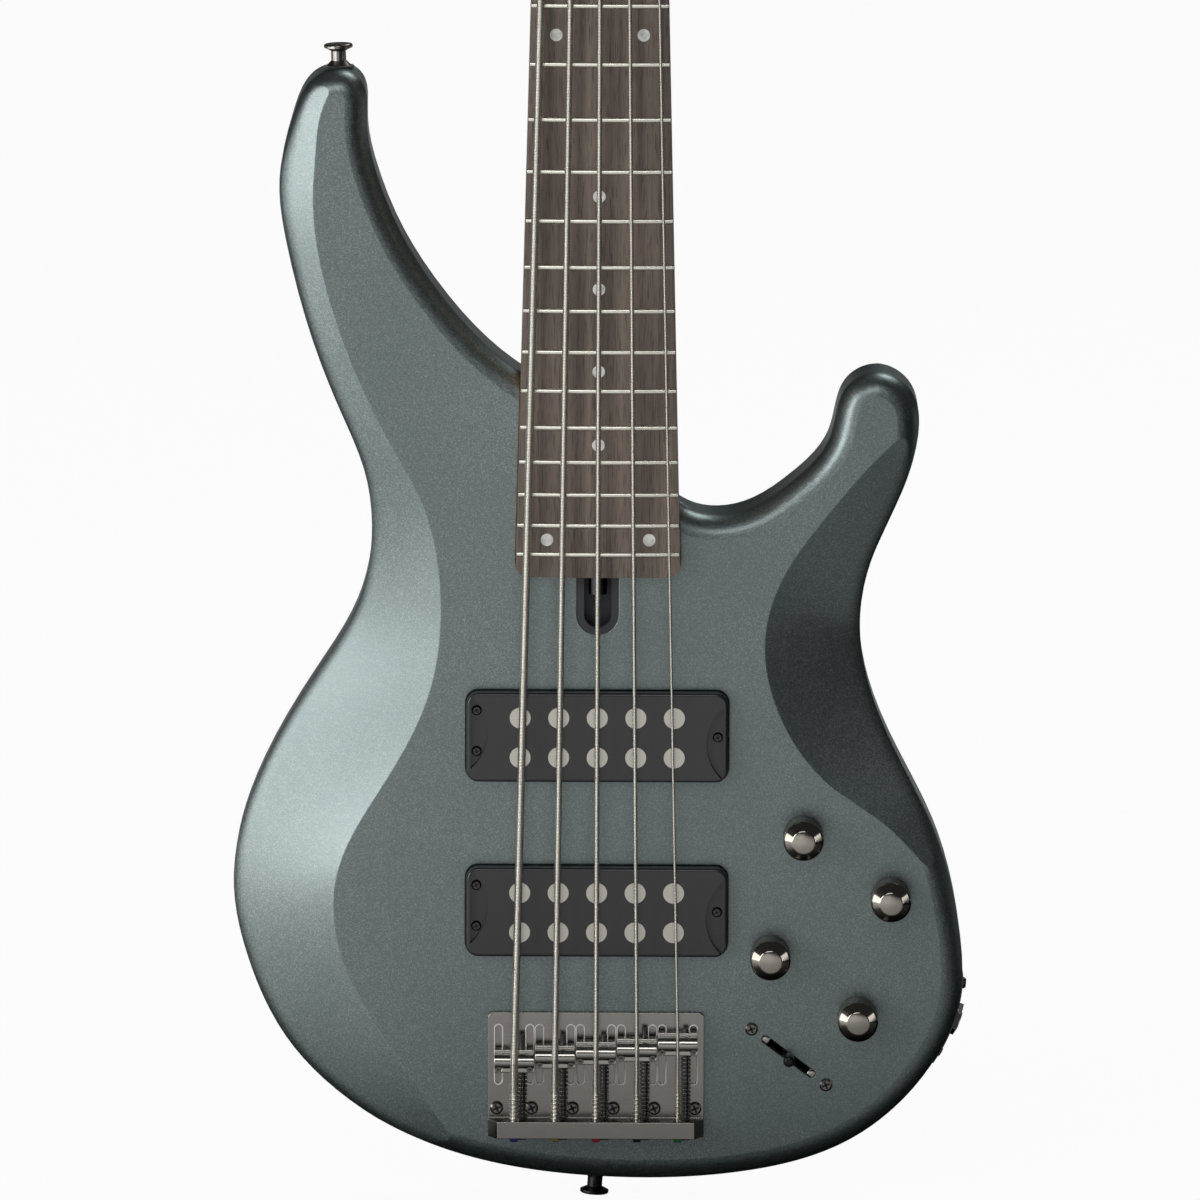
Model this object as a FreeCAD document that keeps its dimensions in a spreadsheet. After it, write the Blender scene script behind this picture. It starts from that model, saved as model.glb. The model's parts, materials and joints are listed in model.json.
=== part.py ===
import FreeCAD, Part
import math
import os
import re
from FreeCAD import Placement, Rotation, Vector

# A five-string, 24-fret electric bass guitar, standing upright with its face towards -Y.
# The origin is on the centre line at the nut, on the plane where the fingerboard is glued to the neck.

# Driving sizes in millimetres (head_tilt, carve_angle and selector_angle in degrees), by sub-part
SIZES = {
    # Scale and strings
    "scale_length": 863.6,
    "nut_string_gap": 8.5,
    "saddle_string_gap": 18.0,
    "gauge_b": 3.3,
    "gauge_e": 2.67,
    "gauge_a": 2.16,
    "gauge_d": 1.65,
    "gauge_g": 1.14,
    "setback_b": 9.8,
    "setback_e": 7.5,
    "setback_a": 5.7,
    "setback_d": 4.3,
    "setback_g": 1.9,
    "string_bend": 4.0,
    "winding_gap": 0.5,
    # Clearances shared by all fits
    "overrun": 2.0,
    "fit_gap": 0.05,
    "seat_gap": 0.1,
    "loose_gap": 0.3,
    # Neck, fingerboard, frets and nut
    "nut_width": 41.0,
    "board_end_width": 72.4,
    "board_overhang": 10.3,
    "board_thickness": 6.0,
    "board_radius": 400.0,
    "board_corner": 5.5,
    "fret_width": 2.4,
    "fret_height": 1.1,
    "dot_diameter": 5.5,
    "dot_depth": 1.5,
    "dot_spread": 38.0,
    "side_dot_diameter": 2.4,
    "side_dot_drop": 2.4,
    "nut_thickness": 6.0,
    "nut_rise": 2.2,
    "nut_slot_rise": 0.5,
    "neck_depth_nut": 14.5,
    "neck_depth_heel": 17.5,
    "heel_depth": 20.0,
    "heel_length": 96.0,
    "heel_round": 6.0,
    # Truss rod and its access
    "truss_diameter": 6.0,
    "truss_depth": 10.0,
    "truss_head_margin": 25.0,
    "truss_nut_diameter": 8.0,
    "truss_nut_length": 9.0,
    "truss_key": 4.0,
    "access_width": 18.4,
    "access_length": 26.9,
    "access_depth": 12.0,
    "access_wall": 3.2,
    "access_floor": 2.0,
    # Headstock
    "head_tilt": 10.0,
    "head_length": 182.0,
    "head_half_width": 37.0,
    "head_thickness": 14.0,
    "head_corner": 9.0,
    # Tuning machines
    "tuner_pitch": 42.0,
    "tuner_first": 42.0,
    "post_diameter": 9.4,
    "post_waist": 8.0,
    "post_height": 17.5,
    "post_slot": 2.6,
    "post_cap": 2.4,
    "winding_height": 4.6,
    "bushing_diameter": 14.0,
    "bushing_flange": 18.0,
    "bushing_rise": 2.0,
    "housing_diameter": 23.0,
    "housing_height": 13.0,
    "housing_round": 2.5,
    "housing_ear": 16.0,
    "key_shaft": 5.0,
    "key_reach": 27.0,
    "key_length": 17.0,
    "key_width": 24.0,
    "key_thickness": 8.0,
    "key_corner": 7.0,
    "key_round": 2.6,
    # Body
    "body_length": 492.5,
    "body_width": 322.0,
    "body_tail": 65.4,
    "body_thickness": 42.0,
    "deck_drop": 4.0,
    "front_round": 12.0,
    "back_round": 6.0,
    "carve_angle": 20.0,
    "carve_reach": 60.0,
    # Neck screws and their ferrules
    "neck_screw_diameter": 4.8,
    "neck_screw_grip": 14.0,
    "neck_screw_spread": 40.0,
    "neck_screw_pitch": 34.0,
    "ferrule_diameter": 14.0,
    "ferrule_depth": 4.0,
    # Pickups
    "pickup_length": 115.0,
    "pickup_width": 39.8,
    "pickup_corner": 5.5,
    "pickup_rise": 7.0,
    "pickup_sunk": 18.0,
    "pickup_edge": 1.4,
    "neck_pickup_place": 134.0,
    "bridge_pickup_place": 56.0,
    "pole_diameter": 9.2,
    "pole_gap": 16.9,
    "pole_row_gap": 17.6,
    "pole_rise": 0.3,
    "pole_length": 15.0,
    "thumb_radius": 22.0,
    "thumb_reach": 7.6,
    "thumb_margin": 2.0,
    "thumb_shift": 2.6,
    "thumb_depth": 3.0,
    "pickup_screw_inset": 4.6,
    "pickup_screw_gap": 18.2,
    "pickup_screw_head": 4.4,
    "pickup_screw_shank": 2.6,
    "pickup_screw_bite": 9.0,
    "foam_thickness": 3.0,
    # Bridge
    "bridge_width": 95.0,
    "bridge_length": 54.5,
    "bridge_lead": 10.3,
    "bridge_plate": 2.5,
    "bridge_corner": 2.2,
    "bridge_wall": 7.4,
    "bridge_wall_height": 13.5,
    "bridge_wall_chamfer": 4.2,
    "groove_width": 3.1,
    "groove_length": 26.4,
    "groove_lead": 4.7,
    "groove_depth": 1.2,
    "string_hole": 4.2,
    "string_hole_height": 10.2,
    "bridge_screw_back": 32.4,
    "bridge_screw_side": 7.7,
    "bridge_screw_head": 5.8,
    "bridge_screw_rise": 1.6,
    "bridge_screw_shank": 3.2,
    "bridge_screw_bite": 18.0,
    # Saddles
    "saddle_width": 17.4,
    "saddle_front": 4.6,
    "saddle_back": 5.8,
    "saddle_block": 6.2,
    "saddle_top": 15.4,
    "saddle_height": 11.0,
    "saddle_bar": 6.4,
    "saddle_notch": 0.8,
    "height_screw_spread": 13.8,
    "height_screw_diameter": 3.0,
    "height_screw_socket": 1.5,
    "length_screw_side": 3.5,
    "length_screw_height": 7.0,
    "length_screw_diameter": 2.6,
    "low_screw_tip": 1.5,
    "high_screw_tip": 4.4,
    "length_screw_head": 4.2,
    "length_screw_head_rise": 1.4,
    "spring_diameter": 4.6,
    "spring_wire": 0.7,
    "spring_pitch": 2.0,
    "ball_diameter": 4.6,
    "ball_length": 3.6,
    "ball_sunk": 2.6,
    # Controls
    "knob_diameter": 17.7,
    "knob_top_diameter": 9.5,
    "knob_height": 17.8,
    "knob_skirt": 14.6,
    "knob_lift": 0.8,
    "knob_round": 1.0,
    "knob_wall": 1.2,
    "knob_recess": 5.0,
    "knob_roof": 4.0,
    "shaft_diameter": 6.0,
    "pot_diameter": 17.0,
    "pot_height": 9.0,
    "panel_thread": 9.5,
    "panel_nut": 12.7,
    "panel_nut_height": 1.8,
    "panel_wall": 6.0,
    "volume_side": 90.7,
    "volume_up": 89.8,
    "control_step_side": 38.6,
    "control_step_down": 27.3,
    "control_row_side": 14.2,
    "control_row_down": 53.5,
    "control_room": 12.0,
    "cover_rim": 5.5,
    "cover_thickness": 2.5,
    "board_plate": 1.6,
    # Selector
    "selector_side": 84.9,
    "selector_up": -9.6,
    "selector_angle": 37.1,
    "selector_screw_gap": 41.3,
    "selector_slot_length": 29.0,
    "selector_slot_width": 3.4,
    "selector_width": 13.0,
    "selector_overhang": 4.5,
    "selector_plate": 1.5,
    "selector_pivot_depth": 14.0,
    "selector_pin": 3.0,
    "selector_hub": 8.0,
    "selector_blade": 1.6,
    "selector_blade_width": 4.0,
    "selector_tip_rise": 12.0,
    "selector_tip_length": 8.0,
    "selector_tip_diameter": 5.0,
    "selector_screw_head": 5.7,
    "selector_screw_rise": 1.5,
    "selector_screw_shank": 2.9,
    # Small wood screws of the cover, the jack plate and the tuners
    "small_screw_head": 5.0,
    "small_screw_rise": 1.3,
    "small_screw_shank": 2.2,
    "small_screw_length": 9.0,
    # Output jack and its plate on the side of the body
    "jack_place": 3.0,
    "jack_plate_length": 42.0,
    "jack_plate_width": 20.0,
    "jack_plate_thickness": 1.6,
    "jack_plate_sunk": 1.0,
    "jack_screw_inset": 4.5,
    "jack_bore": 6.5,
    "jack_depth": 30.0,
    "jack_sleeve": 14.0,
    "jack_pocket": 19.0,
    "jack_thread_out": 2.6,
    "jack_shoulder": 0.8,
    # Strap buttons
    "strap_base": 11.0,
    "strap_waist": 6.6,
    "strap_flange": 12.6,
    "strap_height": 9.5,
    "strap_base_height": 2.2,
    "strap_flange_height": 1.6,
    "strap_screw_head": 8.0,
    "strap_screw_shank": 4.0,
    "strap_screw_bite": 24.0,
    "felt_diameter": 13.6,
    "felt_thickness": 1.6,
    "felt_seat": 1.0,
    # Battery box on the back
    "battery_side": -86.0,
    "battery_up": 38.0,
    "battery_length": 48.5,
    "battery_width": 26.5,
    "battery_depth": 17.5,
    "battery_cap": 3.4,
    "battery_cap_diameter": 6.0,
    "box_wall": 1.6,
    "box_rim": 5.0,
    "box_corner": 2.0,
    "door_thickness": 2.4,
    "door_pin": 1.4,
    "door_pin_length": 2.5,
    "door_notch": 5.0,
}

FRET_COUNT = 24
SINGLE_DOT_FRETS = (3, 5, 7, 9, 15, 17, 19, 21)
DOUBLE_DOT_FRETS = (12, 24)

# Body outline from the tip of the bass horn down the bass side, as shares of half the body's width
# and of its length from the tip of the bass horn
BODY_OUTLINE_SHARES = (
    (-0.708, 0.001), (-0.781, 0.010), (-0.835, 0.046), (-0.868, 0.100), (-0.848, 0.157),
    (-0.786, 0.235), (-0.702, 0.307), (-0.637, 0.360), (-0.616, 0.417), (-0.655, 0.482),
    (-0.774, 0.549), (-0.903, 0.622), (-0.975, 0.685), (-0.994, 0.738), (-0.953, 0.805),
    (-0.845, 0.878), (-0.671, 0.933), (-0.391, 0.978), (0.012, 1.000), (0.404, 0.995),
    (0.683, 0.968), (0.907, 0.903), (0.997, 0.836), (0.994, 0.775), (0.922, 0.683),
    (0.811, 0.610), (0.736, 0.547), (0.716, 0.499), (0.745, 0.440), (0.819, 0.384),
    (0.868, 0.332), (0.851, 0.287), (0.760, 0.270), (0.675, 0.283), (0.630, 0.328),
    (0.522, 0.370), (0.385, 0.396), (0.273, 0.397), (0.062, 0.336), (-0.264, 0.259),
    (-0.429, 0.202), (-0.540, 0.145), (-0.605, 0.092), (-0.631, 0.045), (-0.643, 0.012),
)

# Crest lines of the two carves on the deck, in the same shares, each starting and ending off the body
BASS_CREST_SHARES = (
    (-0.665, -0.030), (-0.722, 0.014), (-0.751, 0.034), (-0.769, 0.073), (-0.776, 0.113),
    (-0.757, 0.171), (-0.694, 0.242), (-0.580, 0.325), (-0.479, 0.387), (-0.427, 0.479),
    (-0.456, 0.556), (-0.589, 0.644), (-0.709, 0.722), (-0.701, 0.793), (-0.567, 0.877),
    (-0.453, 0.934), (-0.330, 0.990),
)
TREBLE_CREST_SHARES = (
    (0.950, 0.295), (0.792, 0.334), (0.622, 0.397), (0.501, 0.455), (0.456, 0.510),
    (0.490, 0.571), (0.643, 0.642), (0.786, 0.675), (0.861, 0.699), (1.010, 0.755),
)

# Headstock outline from the bass side of the nut, as shares of its half width and length
HEAD_OUTLINE_SHARES = (
    (-0.990, 0.170), (-0.560, 0.900), (-0.200, 1.000), (0.330, 0.930), (0.560, 0.760), (0.970, 0.190),
)

doc = FreeCAD.newDocument("BassGuitar")
sheet = doc.addObject("Spreadsheet::Sheet", "Sizes")
for row, (alias, value) in enumerate(SIZES.items(), 1):
    sheet.set("A%d" % row, alias)
    sheet.set("B%d" % row, str(value))
    sheet.setAlias("B%d" % row, alias)
doc.recompute()


def work_out(alias, value):
    """Put a value that follows from the outline into the sheet, under the driving sizes."""
    row = len(SIZES) + 1
    sheet.set("A%d" % row, alias)
    sheet.set("B%d" % row, str(value))
    sheet.setAlias("B%d" % row, alias)
    doc.recompute()


class SheetSizes:
    """Reads a driving size from the sheet by its alias."""

    def __getattr__(self, alias):
        return float(sheet.get(alias))


S = SheetSizes()
NODES = []

# Three frames, each with x across, y along the instrument towards the head and z towards the player.
# NECK stands on the glue plane at the nut, DECK on the top of the body at the saddle line,
# and HEAD on the face of the headstock behind the nut.
ACROSS = Vector(1, 0, 0)
NECK = Placement(Vector(), Rotation(ACROSS, 90))
DECK = Placement(Vector(0, S.deck_drop, -S.scale_length), Rotation(ACROSS, 90))
HEAD = Placement(Vector(0, 0, S.nut_thickness), Rotation(ACROSS, 90 - S.head_tilt))
FACE_BACK = Rotation(ACROSS, 180)


# Document helpers

def bind(target, **expressions):
    """Bind properties to the sheet; each word in an expression is an alias, unless a bracket follows it."""
    for name, text in expressions.items():
        target.setExpression(name.replace("__", "."), re.sub(r"\b[a-z][a-z_]*\b(?!\()", r"Sizes.\g<0>", text))


def keep(label, item, placement=None):
    """Give an object its label and placement and list it as a piece of the instrument."""
    item.Label = label
    if placement is not None:
        item.Placement = placement
    NODES.append(item)
    return item


def new_body(name):
    return doc.addObject("PartDesign::Body", name)


def draw(body, geometry, lift="0", role="XY_Plane"):
    """A sketch of the geometry, parallel to one of the body's own origin planes."""
    sketch = body.newObject("Sketcher::SketchObject", body.Name + "_sketch")
    plane = next(item for item in body.Origin.OriginFeatures if item.Role == role)
    sketch.AttachmentSupport = [(plane, "")]
    sketch.MapMode = "FlatFace"
    bind(sketch, AttachmentOffset__Base__z=lift)
    sketch.addGeometry(geometry, False)
    return sketch


def pad(body, geometry, length, lift="0", role="XY_Plane", down=False):
    feature = body.newObject("PartDesign::Pad", body.Name + "_pad")
    feature.Profile = draw(body, geometry, lift, role)
    feature.Reversed = down
    bind(feature, Length=length)
    return feature


def pocket(body, geometry, depth, lift="0", role="XY_Plane", up=False):
    """Cut down from a plane, or up from it, and make sure that something was cut."""
    doc.recompute()
    volume = body.Shape.Volume
    feature = body.newObject("PartDesign::Pocket", body.Name + "_pocket")
    feature.Profile = draw(body, geometry, lift, role)
    feature.Reversed = up
    bind(feature, Length=depth)
    doc.recompute()
    if body.Shape.Volume > volume * 0.9999999:
        raise RuntimeError("a pocket of %s cut nothing" % body.Name)
    return feature


def revolve(body, corners):
    """Turn a profile of (radius, height, corner radius) about the body's own Z."""
    feature = body.newObject("PartDesign::Revolution", body.Name + "_turn")
    feature.Profile = draw(body, outline(corners), role="XZ_Plane")
    feature.ReferenceAxis = (feature.Profile[0], ["V_Axis"])
    feature.Angle = 360
    return body


def soften(body, radius, chosen):
    """Round the edges of the body's last feature that the test picks."""
    doc.recompute()
    base = body.Tip
    names = ["Edge%d" % i for i, edge in enumerate(base.Shape.Edges, 1) if chosen(edge)]
    feature = body.newObject("PartDesign::Fillet", body.Name + "_round")
    feature.Base = (base, names)
    bind(feature, Radius=radius)
    return feature


def feature(name, shape):
    item = doc.addObject("Part::Feature", name)
    item.Shape = shape
    return item


def cut(name, base, tools):
    """A boolean cut of one object by a list of solids."""
    tool = feature(name + "_tools", Part.makeCompound(tools))
    item = doc.addObject("Part::Cut", name)
    item.Base = base
    item.Tool = tool
    return item


def copies(label, template, places):
    """One node of equal solids: the template's shape at each place."""
    doc.recompute()
    solids = []
    for place in places:
        solid = template.Shape.copy()
        solid.Placement = place.multiply(solid.Placement)
        solids.append(solid)
    return keep(label, feature(label, Part.makeCompound(solids)))


def at(frame, x, y, z, rotation=None):
    """A placement at a point of a frame."""
    return frame.multiply(Placement(Vector(x, y, z), rotation or Rotation()))


def on_edge(level):
    """A test for edges that lie flat at a height."""
    def lies_there(edge):
        box = edge.BoundBox
        return abs(box.ZMin - level) < S.fit_gap and abs(box.ZMax - level) < S.fit_gap
    return lies_there


# Outlines

def outline(corners):
    """Lines with tangent arcs through corners given as (x, y, corner radius)."""
    points = [Vector(x, y, 0) for x, y, radius in corners]
    runs = []
    for i, (x, y, radius) in enumerate(corners):
        here = points[i]
        back = (points[i - 1] - here).normalize()
        ahead = (points[(i + 1) % len(points)] - here).normalize()
        half = back.getAngle(ahead) / 2
        reach = radius / math.tan(half)
        middle = here + (back + ahead).normalize() * (radius / math.sin(half) - radius) if radius else here
        runs.append((here + back * reach, middle, here + ahead * reach, radius))
    geometry = []
    for i, (start, middle, end, radius) in enumerate(runs):
        if radius:
            geometry.append(Part.Arc(start, middle, end))
        following = runs[(i + 1) % len(runs)][0]
        if (following - end).Length > 0.001 * S.fit_gap:
            geometry.append(Part.LineSegment(end, following))
    return geometry


def rectangle(width, height, radius=0, x=0, y=0):
    sides = ((-1, -1), (1, -1), (1, 1), (-1, 1))
    return outline([(x + a * width / 2, y + b * height / 2, radius) for a, b in sides])


def slot(length, width, x=0, y=0, upright=False):
    """A straight slot with round ends, lying across or standing upright."""
    turn = Rotation(Vector(0, 0, 1), 90 if upright else 0)
    half = width / 2
    run = length / 2 - half

    def spot(along, across):
        return Vector(x, y, 0) + turn.multVec(Vector(along, across, 0))
    return [
        Part.LineSegment(spot(-run, -half), spot(run, -half)),
        Part.Arc(spot(run, -half), spot(run + half, 0), spot(run, half)),
        Part.LineSegment(spot(run, half), spot(-run, half)),
        Part.Arc(spot(-run, half), spot(-run - half, 0), spot(-run, -half)),
    ]


def ring(diameter, x=0, y=0):
    return [Part.Circle(Vector(x, y, 0), Vector(0, 0, 1), diameter / 2)]


def wire_of(geometry):
    return Part.Wire([item.toShape() for item in geometry])


def prism(geometry, bottom, top):
    """A solid over a closed outline between two heights."""
    wire = wire_of(geometry)
    wire.translate(Vector(0, 0, bottom))
    return Part.Face(wire).extrude(Vector(0, 0, top - bottom))


def rod(diameter, start, end):
    """A straight round bar between two points."""
    return Part.makeCylinder(diameter / 2, (end - start).Length, start, end - start)


# Shared places

def fret_place(number):
    """Distance from the nut to a fret."""
    return S.scale_length * (1 - 2 ** (-number / 12))


BOARD_LENGTH = fret_place(FRET_COUNT) + S.board_overhang
BOARD_END = S.scale_length - BOARD_LENGTH


def board_width(distance):
    """Width of the fingerboard at a distance from the nut."""
    return S.nut_width + (S.board_end_width - S.nut_width) * distance / BOARD_LENGTH


def crown_drop(x):
    """How far the cambered face of the fingerboard has dropped at a distance from the centre line."""
    return S.board_radius - math.sqrt(S.board_radius ** 2 - x ** 2)


STRING_NAMES = ("b", "e", "a", "d", "g")
GAUGES = [getattr(S, "gauge_" + name) for name in STRING_NAMES]
SETBACKS = [getattr(S, "setback_" + name) for name in STRING_NAMES]
NUT_X = [(i - 2) * S.nut_string_gap for i in range(5)]
SADDLE_X = [(i - 2) * S.saddle_string_gap for i in range(5)]
SADDLE_TOPS = [S.saddle_top - crown_drop(x) for x in SADDLE_X]

# Knob places on the deck, two rows of two
VOLUME = Vector(S.volume_side, S.volume_up, 0)
BLEND = VOLUME + Vector(S.control_step_side, -S.control_step_down, 0)
ROW_STEP = Vector(-S.control_row_side, -S.control_row_down, 0)
CONTROLS = {"volume": VOLUME, "blend": BLEND, "bass": VOLUME + ROW_STEP, "treble": BLEND + ROW_STEP}
SELECTOR = Vector(S.selector_side, S.selector_up, 0)
SELECTOR_TURN = Rotation(Vector(0, 0, 1), -S.selector_angle)
SELECTOR_RUN = SELECTOR_TURN.multVec(ACROSS)
SELECTOR_ENDS = [SELECTOR + SELECTOR_RUN * (side * S.selector_screw_gap / 2) for side in (-1, 1)]

# Tuner posts: the three low strings turn on the bass side, the two high ones on the treble side
POST_SIDES = (-1, -1, -1, 1, 1)
POST_ROWS = (0, 1, 2, 1.5, 0.5)


def string_x_beyond_nut(i, distance):
    """Where a string that runs straight on past the nut crosses the headstock."""
    return NUT_X[i] + (NUT_X[i] - SADDLE_X[i]) * distance / (S.scale_length + SETBACKS[i])


POST_Y = [S.tuner_first + row * S.tuner_pitch for row in POST_ROWS]
WIND_RADII = [S.post_waist / 2 + S.loose_gap + gauge / 2 for gauge in GAUGES]
POST_X = [string_x_beyond_nut(i, POST_Y[i]) + POST_SIDES[i] * WIND_RADII[i] for i in range(5)]
KEY_DEPTH = S.head_thickness + S.housing_height / 2


# Body

def body_point(shares):
    across, down = shares
    return Vector(across * S.body_width / 2, S.body_length * (1 - down) - S.body_tail, 0)


def smooth(points, closed=False):
    curve = Part.BSplineCurve()
    curve.interpolate(Points=points, PeriodicFlag=closed)
    return curve


BODY_CURVE = smooth([body_point(shares) for shares in BODY_OUTLINE_SHARES], closed=True)
OUTLINE_PIECES = 8
OUTLINE_STEPS = 1440


def tightest_bend():
    """The least radius of the outline where it bulges out, which limits how far a rim can be rounded."""
    first, last = BODY_CURVE.FirstParameter, BODY_CURVE.LastParameter
    radii = []
    for i in range(OUTLINE_STEPS):
        place = first + (last - first) * i / OUTLINE_STEPS
        bend = BODY_CURVE.curvature(place)
        out = Vector(*BODY_CURVE.tangent(place)[0]).cross(Vector(0, 0, 1))
        if bend > 0 and (BODY_CURVE.centerOfCurvature(place) - BODY_CURVE.value(place)).dot(out) < 0:
            radii.append(1 / bend)
    return min(radii)


work_out("tightest_bend", tightest_bend())


def body_outline():
    """The closed outline as a chain of pieces that run smoothly into each other."""
    first, last = BODY_CURVE.FirstParameter, BODY_CURVE.LastParameter
    cuts = [first + (last - first) * i / OUTLINE_PIECES for i in range(OUTLINE_PIECES + 1)]
    pieces = []
    for start, end in zip(cuts, cuts[1:]):
        piece = BODY_CURVE.copy()
        piece.segment(start, end)
        pieces.append(piece)
    return pieces


def side_frame(x, y, height):
    """A placement on the side of the body: z out of the side, y towards the player, x along the side."""
    along = BODY_CURVE.parameter(Vector(x, y, 0))
    point = BODY_CURVE.value(along)
    tangent = Vector(*BODY_CURVE.tangent(along)[0]).normalize()
    out = tangent.cross(Vector(0, 0, 1))
    turn = Rotation(tangent, Vector(0, 0, 1), out, "ZYX")
    return Placement(point + Vector(0, 0, height), turn)


SIDE_HEIGHT = -S.body_thickness / 2
HORN_TIP = body_point(BODY_OUTLINE_SHARES[0])
TAIL_END = body_point((0, 1))
HORN_SIDE = side_frame(HORN_TIP.x, HORN_TIP.y, SIDE_HEIGHT)
TAIL_SIDE = side_frame(TAIL_END.x, TAIL_END.y, SIDE_HEIGHT)
JACK_SIDE = side_frame(S.body_width / 2, S.jack_place, SIDE_HEIGHT)
JACK_SCREW_SIDES = [
    side_frame(*(JACK_SIDE.multVec(Vector(side * (S.jack_plate_length / 2 - S.jack_screw_inset), 0, 0)))[:2],
               SIDE_HEIGHT)
    for side in (-1, 1)
]


def cavity_corners(room):
    """Corners of the control cavity, set off from the controls by a room."""
    stations = (
        ("volume", -0.9, 1.1), ("volume", 1.0, 1.1), ("blend", 0.9, 0.9), ("blend", 0.9, -1.0),
        ("treble", 1.0, -1.0), (1, 0.55, -0.75), (1, -0.8, -1.0), (0, -0.65, -0.75), (0, -0.7, 0.9),
        ("bass", -1.0, 0.5),
    )
    corners = []
    for anchor, share_x, share_y in stations:
        base = CONTROLS[anchor] if anchor in CONTROLS else SELECTOR_ENDS[anchor]
        corners.append((base.x + share_x * room, base.y + share_y * room))
    return corners


def cavity_outline(room):
    return outline([(x, y, S.control_room / 2) for x, y in cavity_corners(room)])


COVER_SCREWS = [cavity_corners(S.control_room + S.cover_rim / 2)[i] for i in (0, 2, 4, 6, 8)]
PICKUP_PLACES = {"neck_pickup": S.neck_pickup_place, "bridge_pickup": S.bridge_pickup_place}
PICKUP_SCREW_X = S.pickup_length / 2 - S.pickup_screw_inset
PICKUP_SCREWS = (
    (-PICKUP_SCREW_X, S.thumb_shift - S.pickup_screw_gap / 2),
    (-PICKUP_SCREW_X, S.thumb_shift + S.pickup_screw_gap / 2),
    (PICKUP_SCREW_X, 0),
)
NECK_SCREWS = [
    (side * S.neck_screw_spread / 2, BOARD_END + S.heel_length / 3 + row * S.neck_screw_pitch / 2)
    for side in (-1, 1) for row in (-1, 1)
]
BRIDGE_SCREWS = [(SADDLE_X[0] - S.bridge_screw_side, -S.bridge_screw_back)]
BRIDGE_SCREWS += [(x + S.bridge_screw_side, -S.bridge_screw_back) for x in SADDLE_X]
BOX_LENGTH = S.battery_length + 2 * S.loose_gap + 2 * S.box_wall
BOX_WIDTH = S.battery_width + 2 * S.loose_gap + 2 * S.box_wall
BOX_DEPTH = S.battery_depth + S.loose_gap + S.box_wall + S.door_thickness + S.loose_gap


def heel_outline(gap, length):
    """Outline of the neck's heel and of the pocket that takes it, with a gap all round."""
    end = board_width(BOARD_LENGTH) / 2 + gap
    start = board_width(BOARD_LENGTH - length) / 2 + gap
    corner = S.board_corner + gap
    return outline([
        (-end, BOARD_END - gap, corner), (end, BOARD_END - gap, corner),
        (start, BOARD_END + length, 0), (-start, BOARD_END + length, 0),
    ])


def access_outline(width, length, top):
    """The U-shaped trench that gives access to the truss rod."""
    low = BOARD_END - length
    corner = width / 2 - S.fit_gap
    return outline([
        (-width / 2, low, corner), (width / 2, low, corner), (width / 2, top, 0), (-width / 2, top, 0),
    ])


def make_blank():
    """The body before carving: outline, rounded rims, pockets from the front and from the back."""
    blank = new_body("blank")
    pad(blank, body_outline(), "body_thickness", down=True)
    soften(blank, "min(front_round; tightest_bend * 0.9)", on_edge(0))
    soften(blank, "min(back_round; tightest_bend * 0.9)", on_edge(-S.body_thickness))
    pocket(blank, heel_outline(S.seat_gap, S.heel_length + S.overrun), "heel_depth - deck_drop")
    pocket(blank, access_outline(S.access_width, S.access_length, BOARD_END + S.overrun), "access_depth")
    pickups = []
    for place in PICKUP_PLACES.values():
        pickups += rectangle(S.pickup_length + 2 * S.loose_gap, S.pickup_width + 2 * S.loose_gap,
                             S.pickup_corner + S.loose_gap, 0, place)
    pocket(blank, pickups, "pickup_sunk + foam_thickness")
    back = "-body_thickness"
    pocket(blank, cavity_outline(S.control_room), "body_thickness - panel_wall", back, up=True)
    pocket(blank, cavity_outline(S.control_room + S.cover_rim), "cover_thickness", back, up=True)
    pocket(blank, rectangle(BOX_WIDTH + 2 * S.seat_gap, BOX_LENGTH + 2 * S.seat_gap, S.box_corner,
                            S.battery_side, S.battery_up),
           "battery_depth + box_wall + door_thickness + loose_gap + loose_gap + seat_gap", back, up=True)
    pocket(blank, rectangle(BOX_WIDTH + 2 * S.box_rim + 2 * S.seat_gap,
                            BOX_LENGTH + 2 * S.box_rim + 2 * S.seat_gap, S.box_corner + S.box_rim,
                            S.battery_side, S.battery_up),
           "door_thickness + loose_gap + box_wall", back, up=True)
    holes = []
    for place in CONTROLS.values():
        holes += ring(S.panel_thread + 2 * S.seat_gap, place.x, place.y)
    for place in SELECTOR_ENDS:
        holes += ring(S.selector_screw_shank + 2 * S.seat_gap, place.x, place.y)
    pocket(blank, holes, "panel_wall + overrun")
    ferrules = []
    shanks = []
    for x, y in NECK_SCREWS:
        ferrules += ring(S.ferrule_diameter + 2 * S.fit_gap, x, y)
        shanks += ring(S.neck_screw_diameter + 2 * S.seat_gap, x, y)
    pocket(blank, ferrules, "ferrule_depth", back, up=True)
    pocket(blank, shanks, "body_thickness", back, up=True)
    return blank


def carve_cutter(crest_shares, side):
    """What a carve takes away: everything over a slope that falls from its crest to the body's side."""
    points = [body_point(shares) for shares in crest_shares]
    crest = smooth(points)
    drop = S.carve_reach * math.tan(math.radians(S.carve_angle))
    low_points = []
    for point in points:
        tangent = Vector(*crest.tangent(crest.parameter(point))[0]).normalize()
        out = tangent.cross(Vector(0, 0, 1))
        if out.x * side < 0:
            out = out * -1
        low_points.append(point + out * S.carve_reach - Vector(0, 0, drop))
    slope = Part.makeRuledSurface(crest.toShape(), smooth(low_points).toShape())
    return slope.extrude(Vector(0, 0, drop + S.overrun))


def side_drill(place, diameter, depth, out=0):
    """A hole drilled straight into the side of the body, or through what stands out from it."""
    hole = Part.makeCylinder(diameter / 2, depth + out + S.overrun, Vector(0, 0, -depth))
    hole.Placement = place.multiply(hole.Placement)
    return hole


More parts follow.
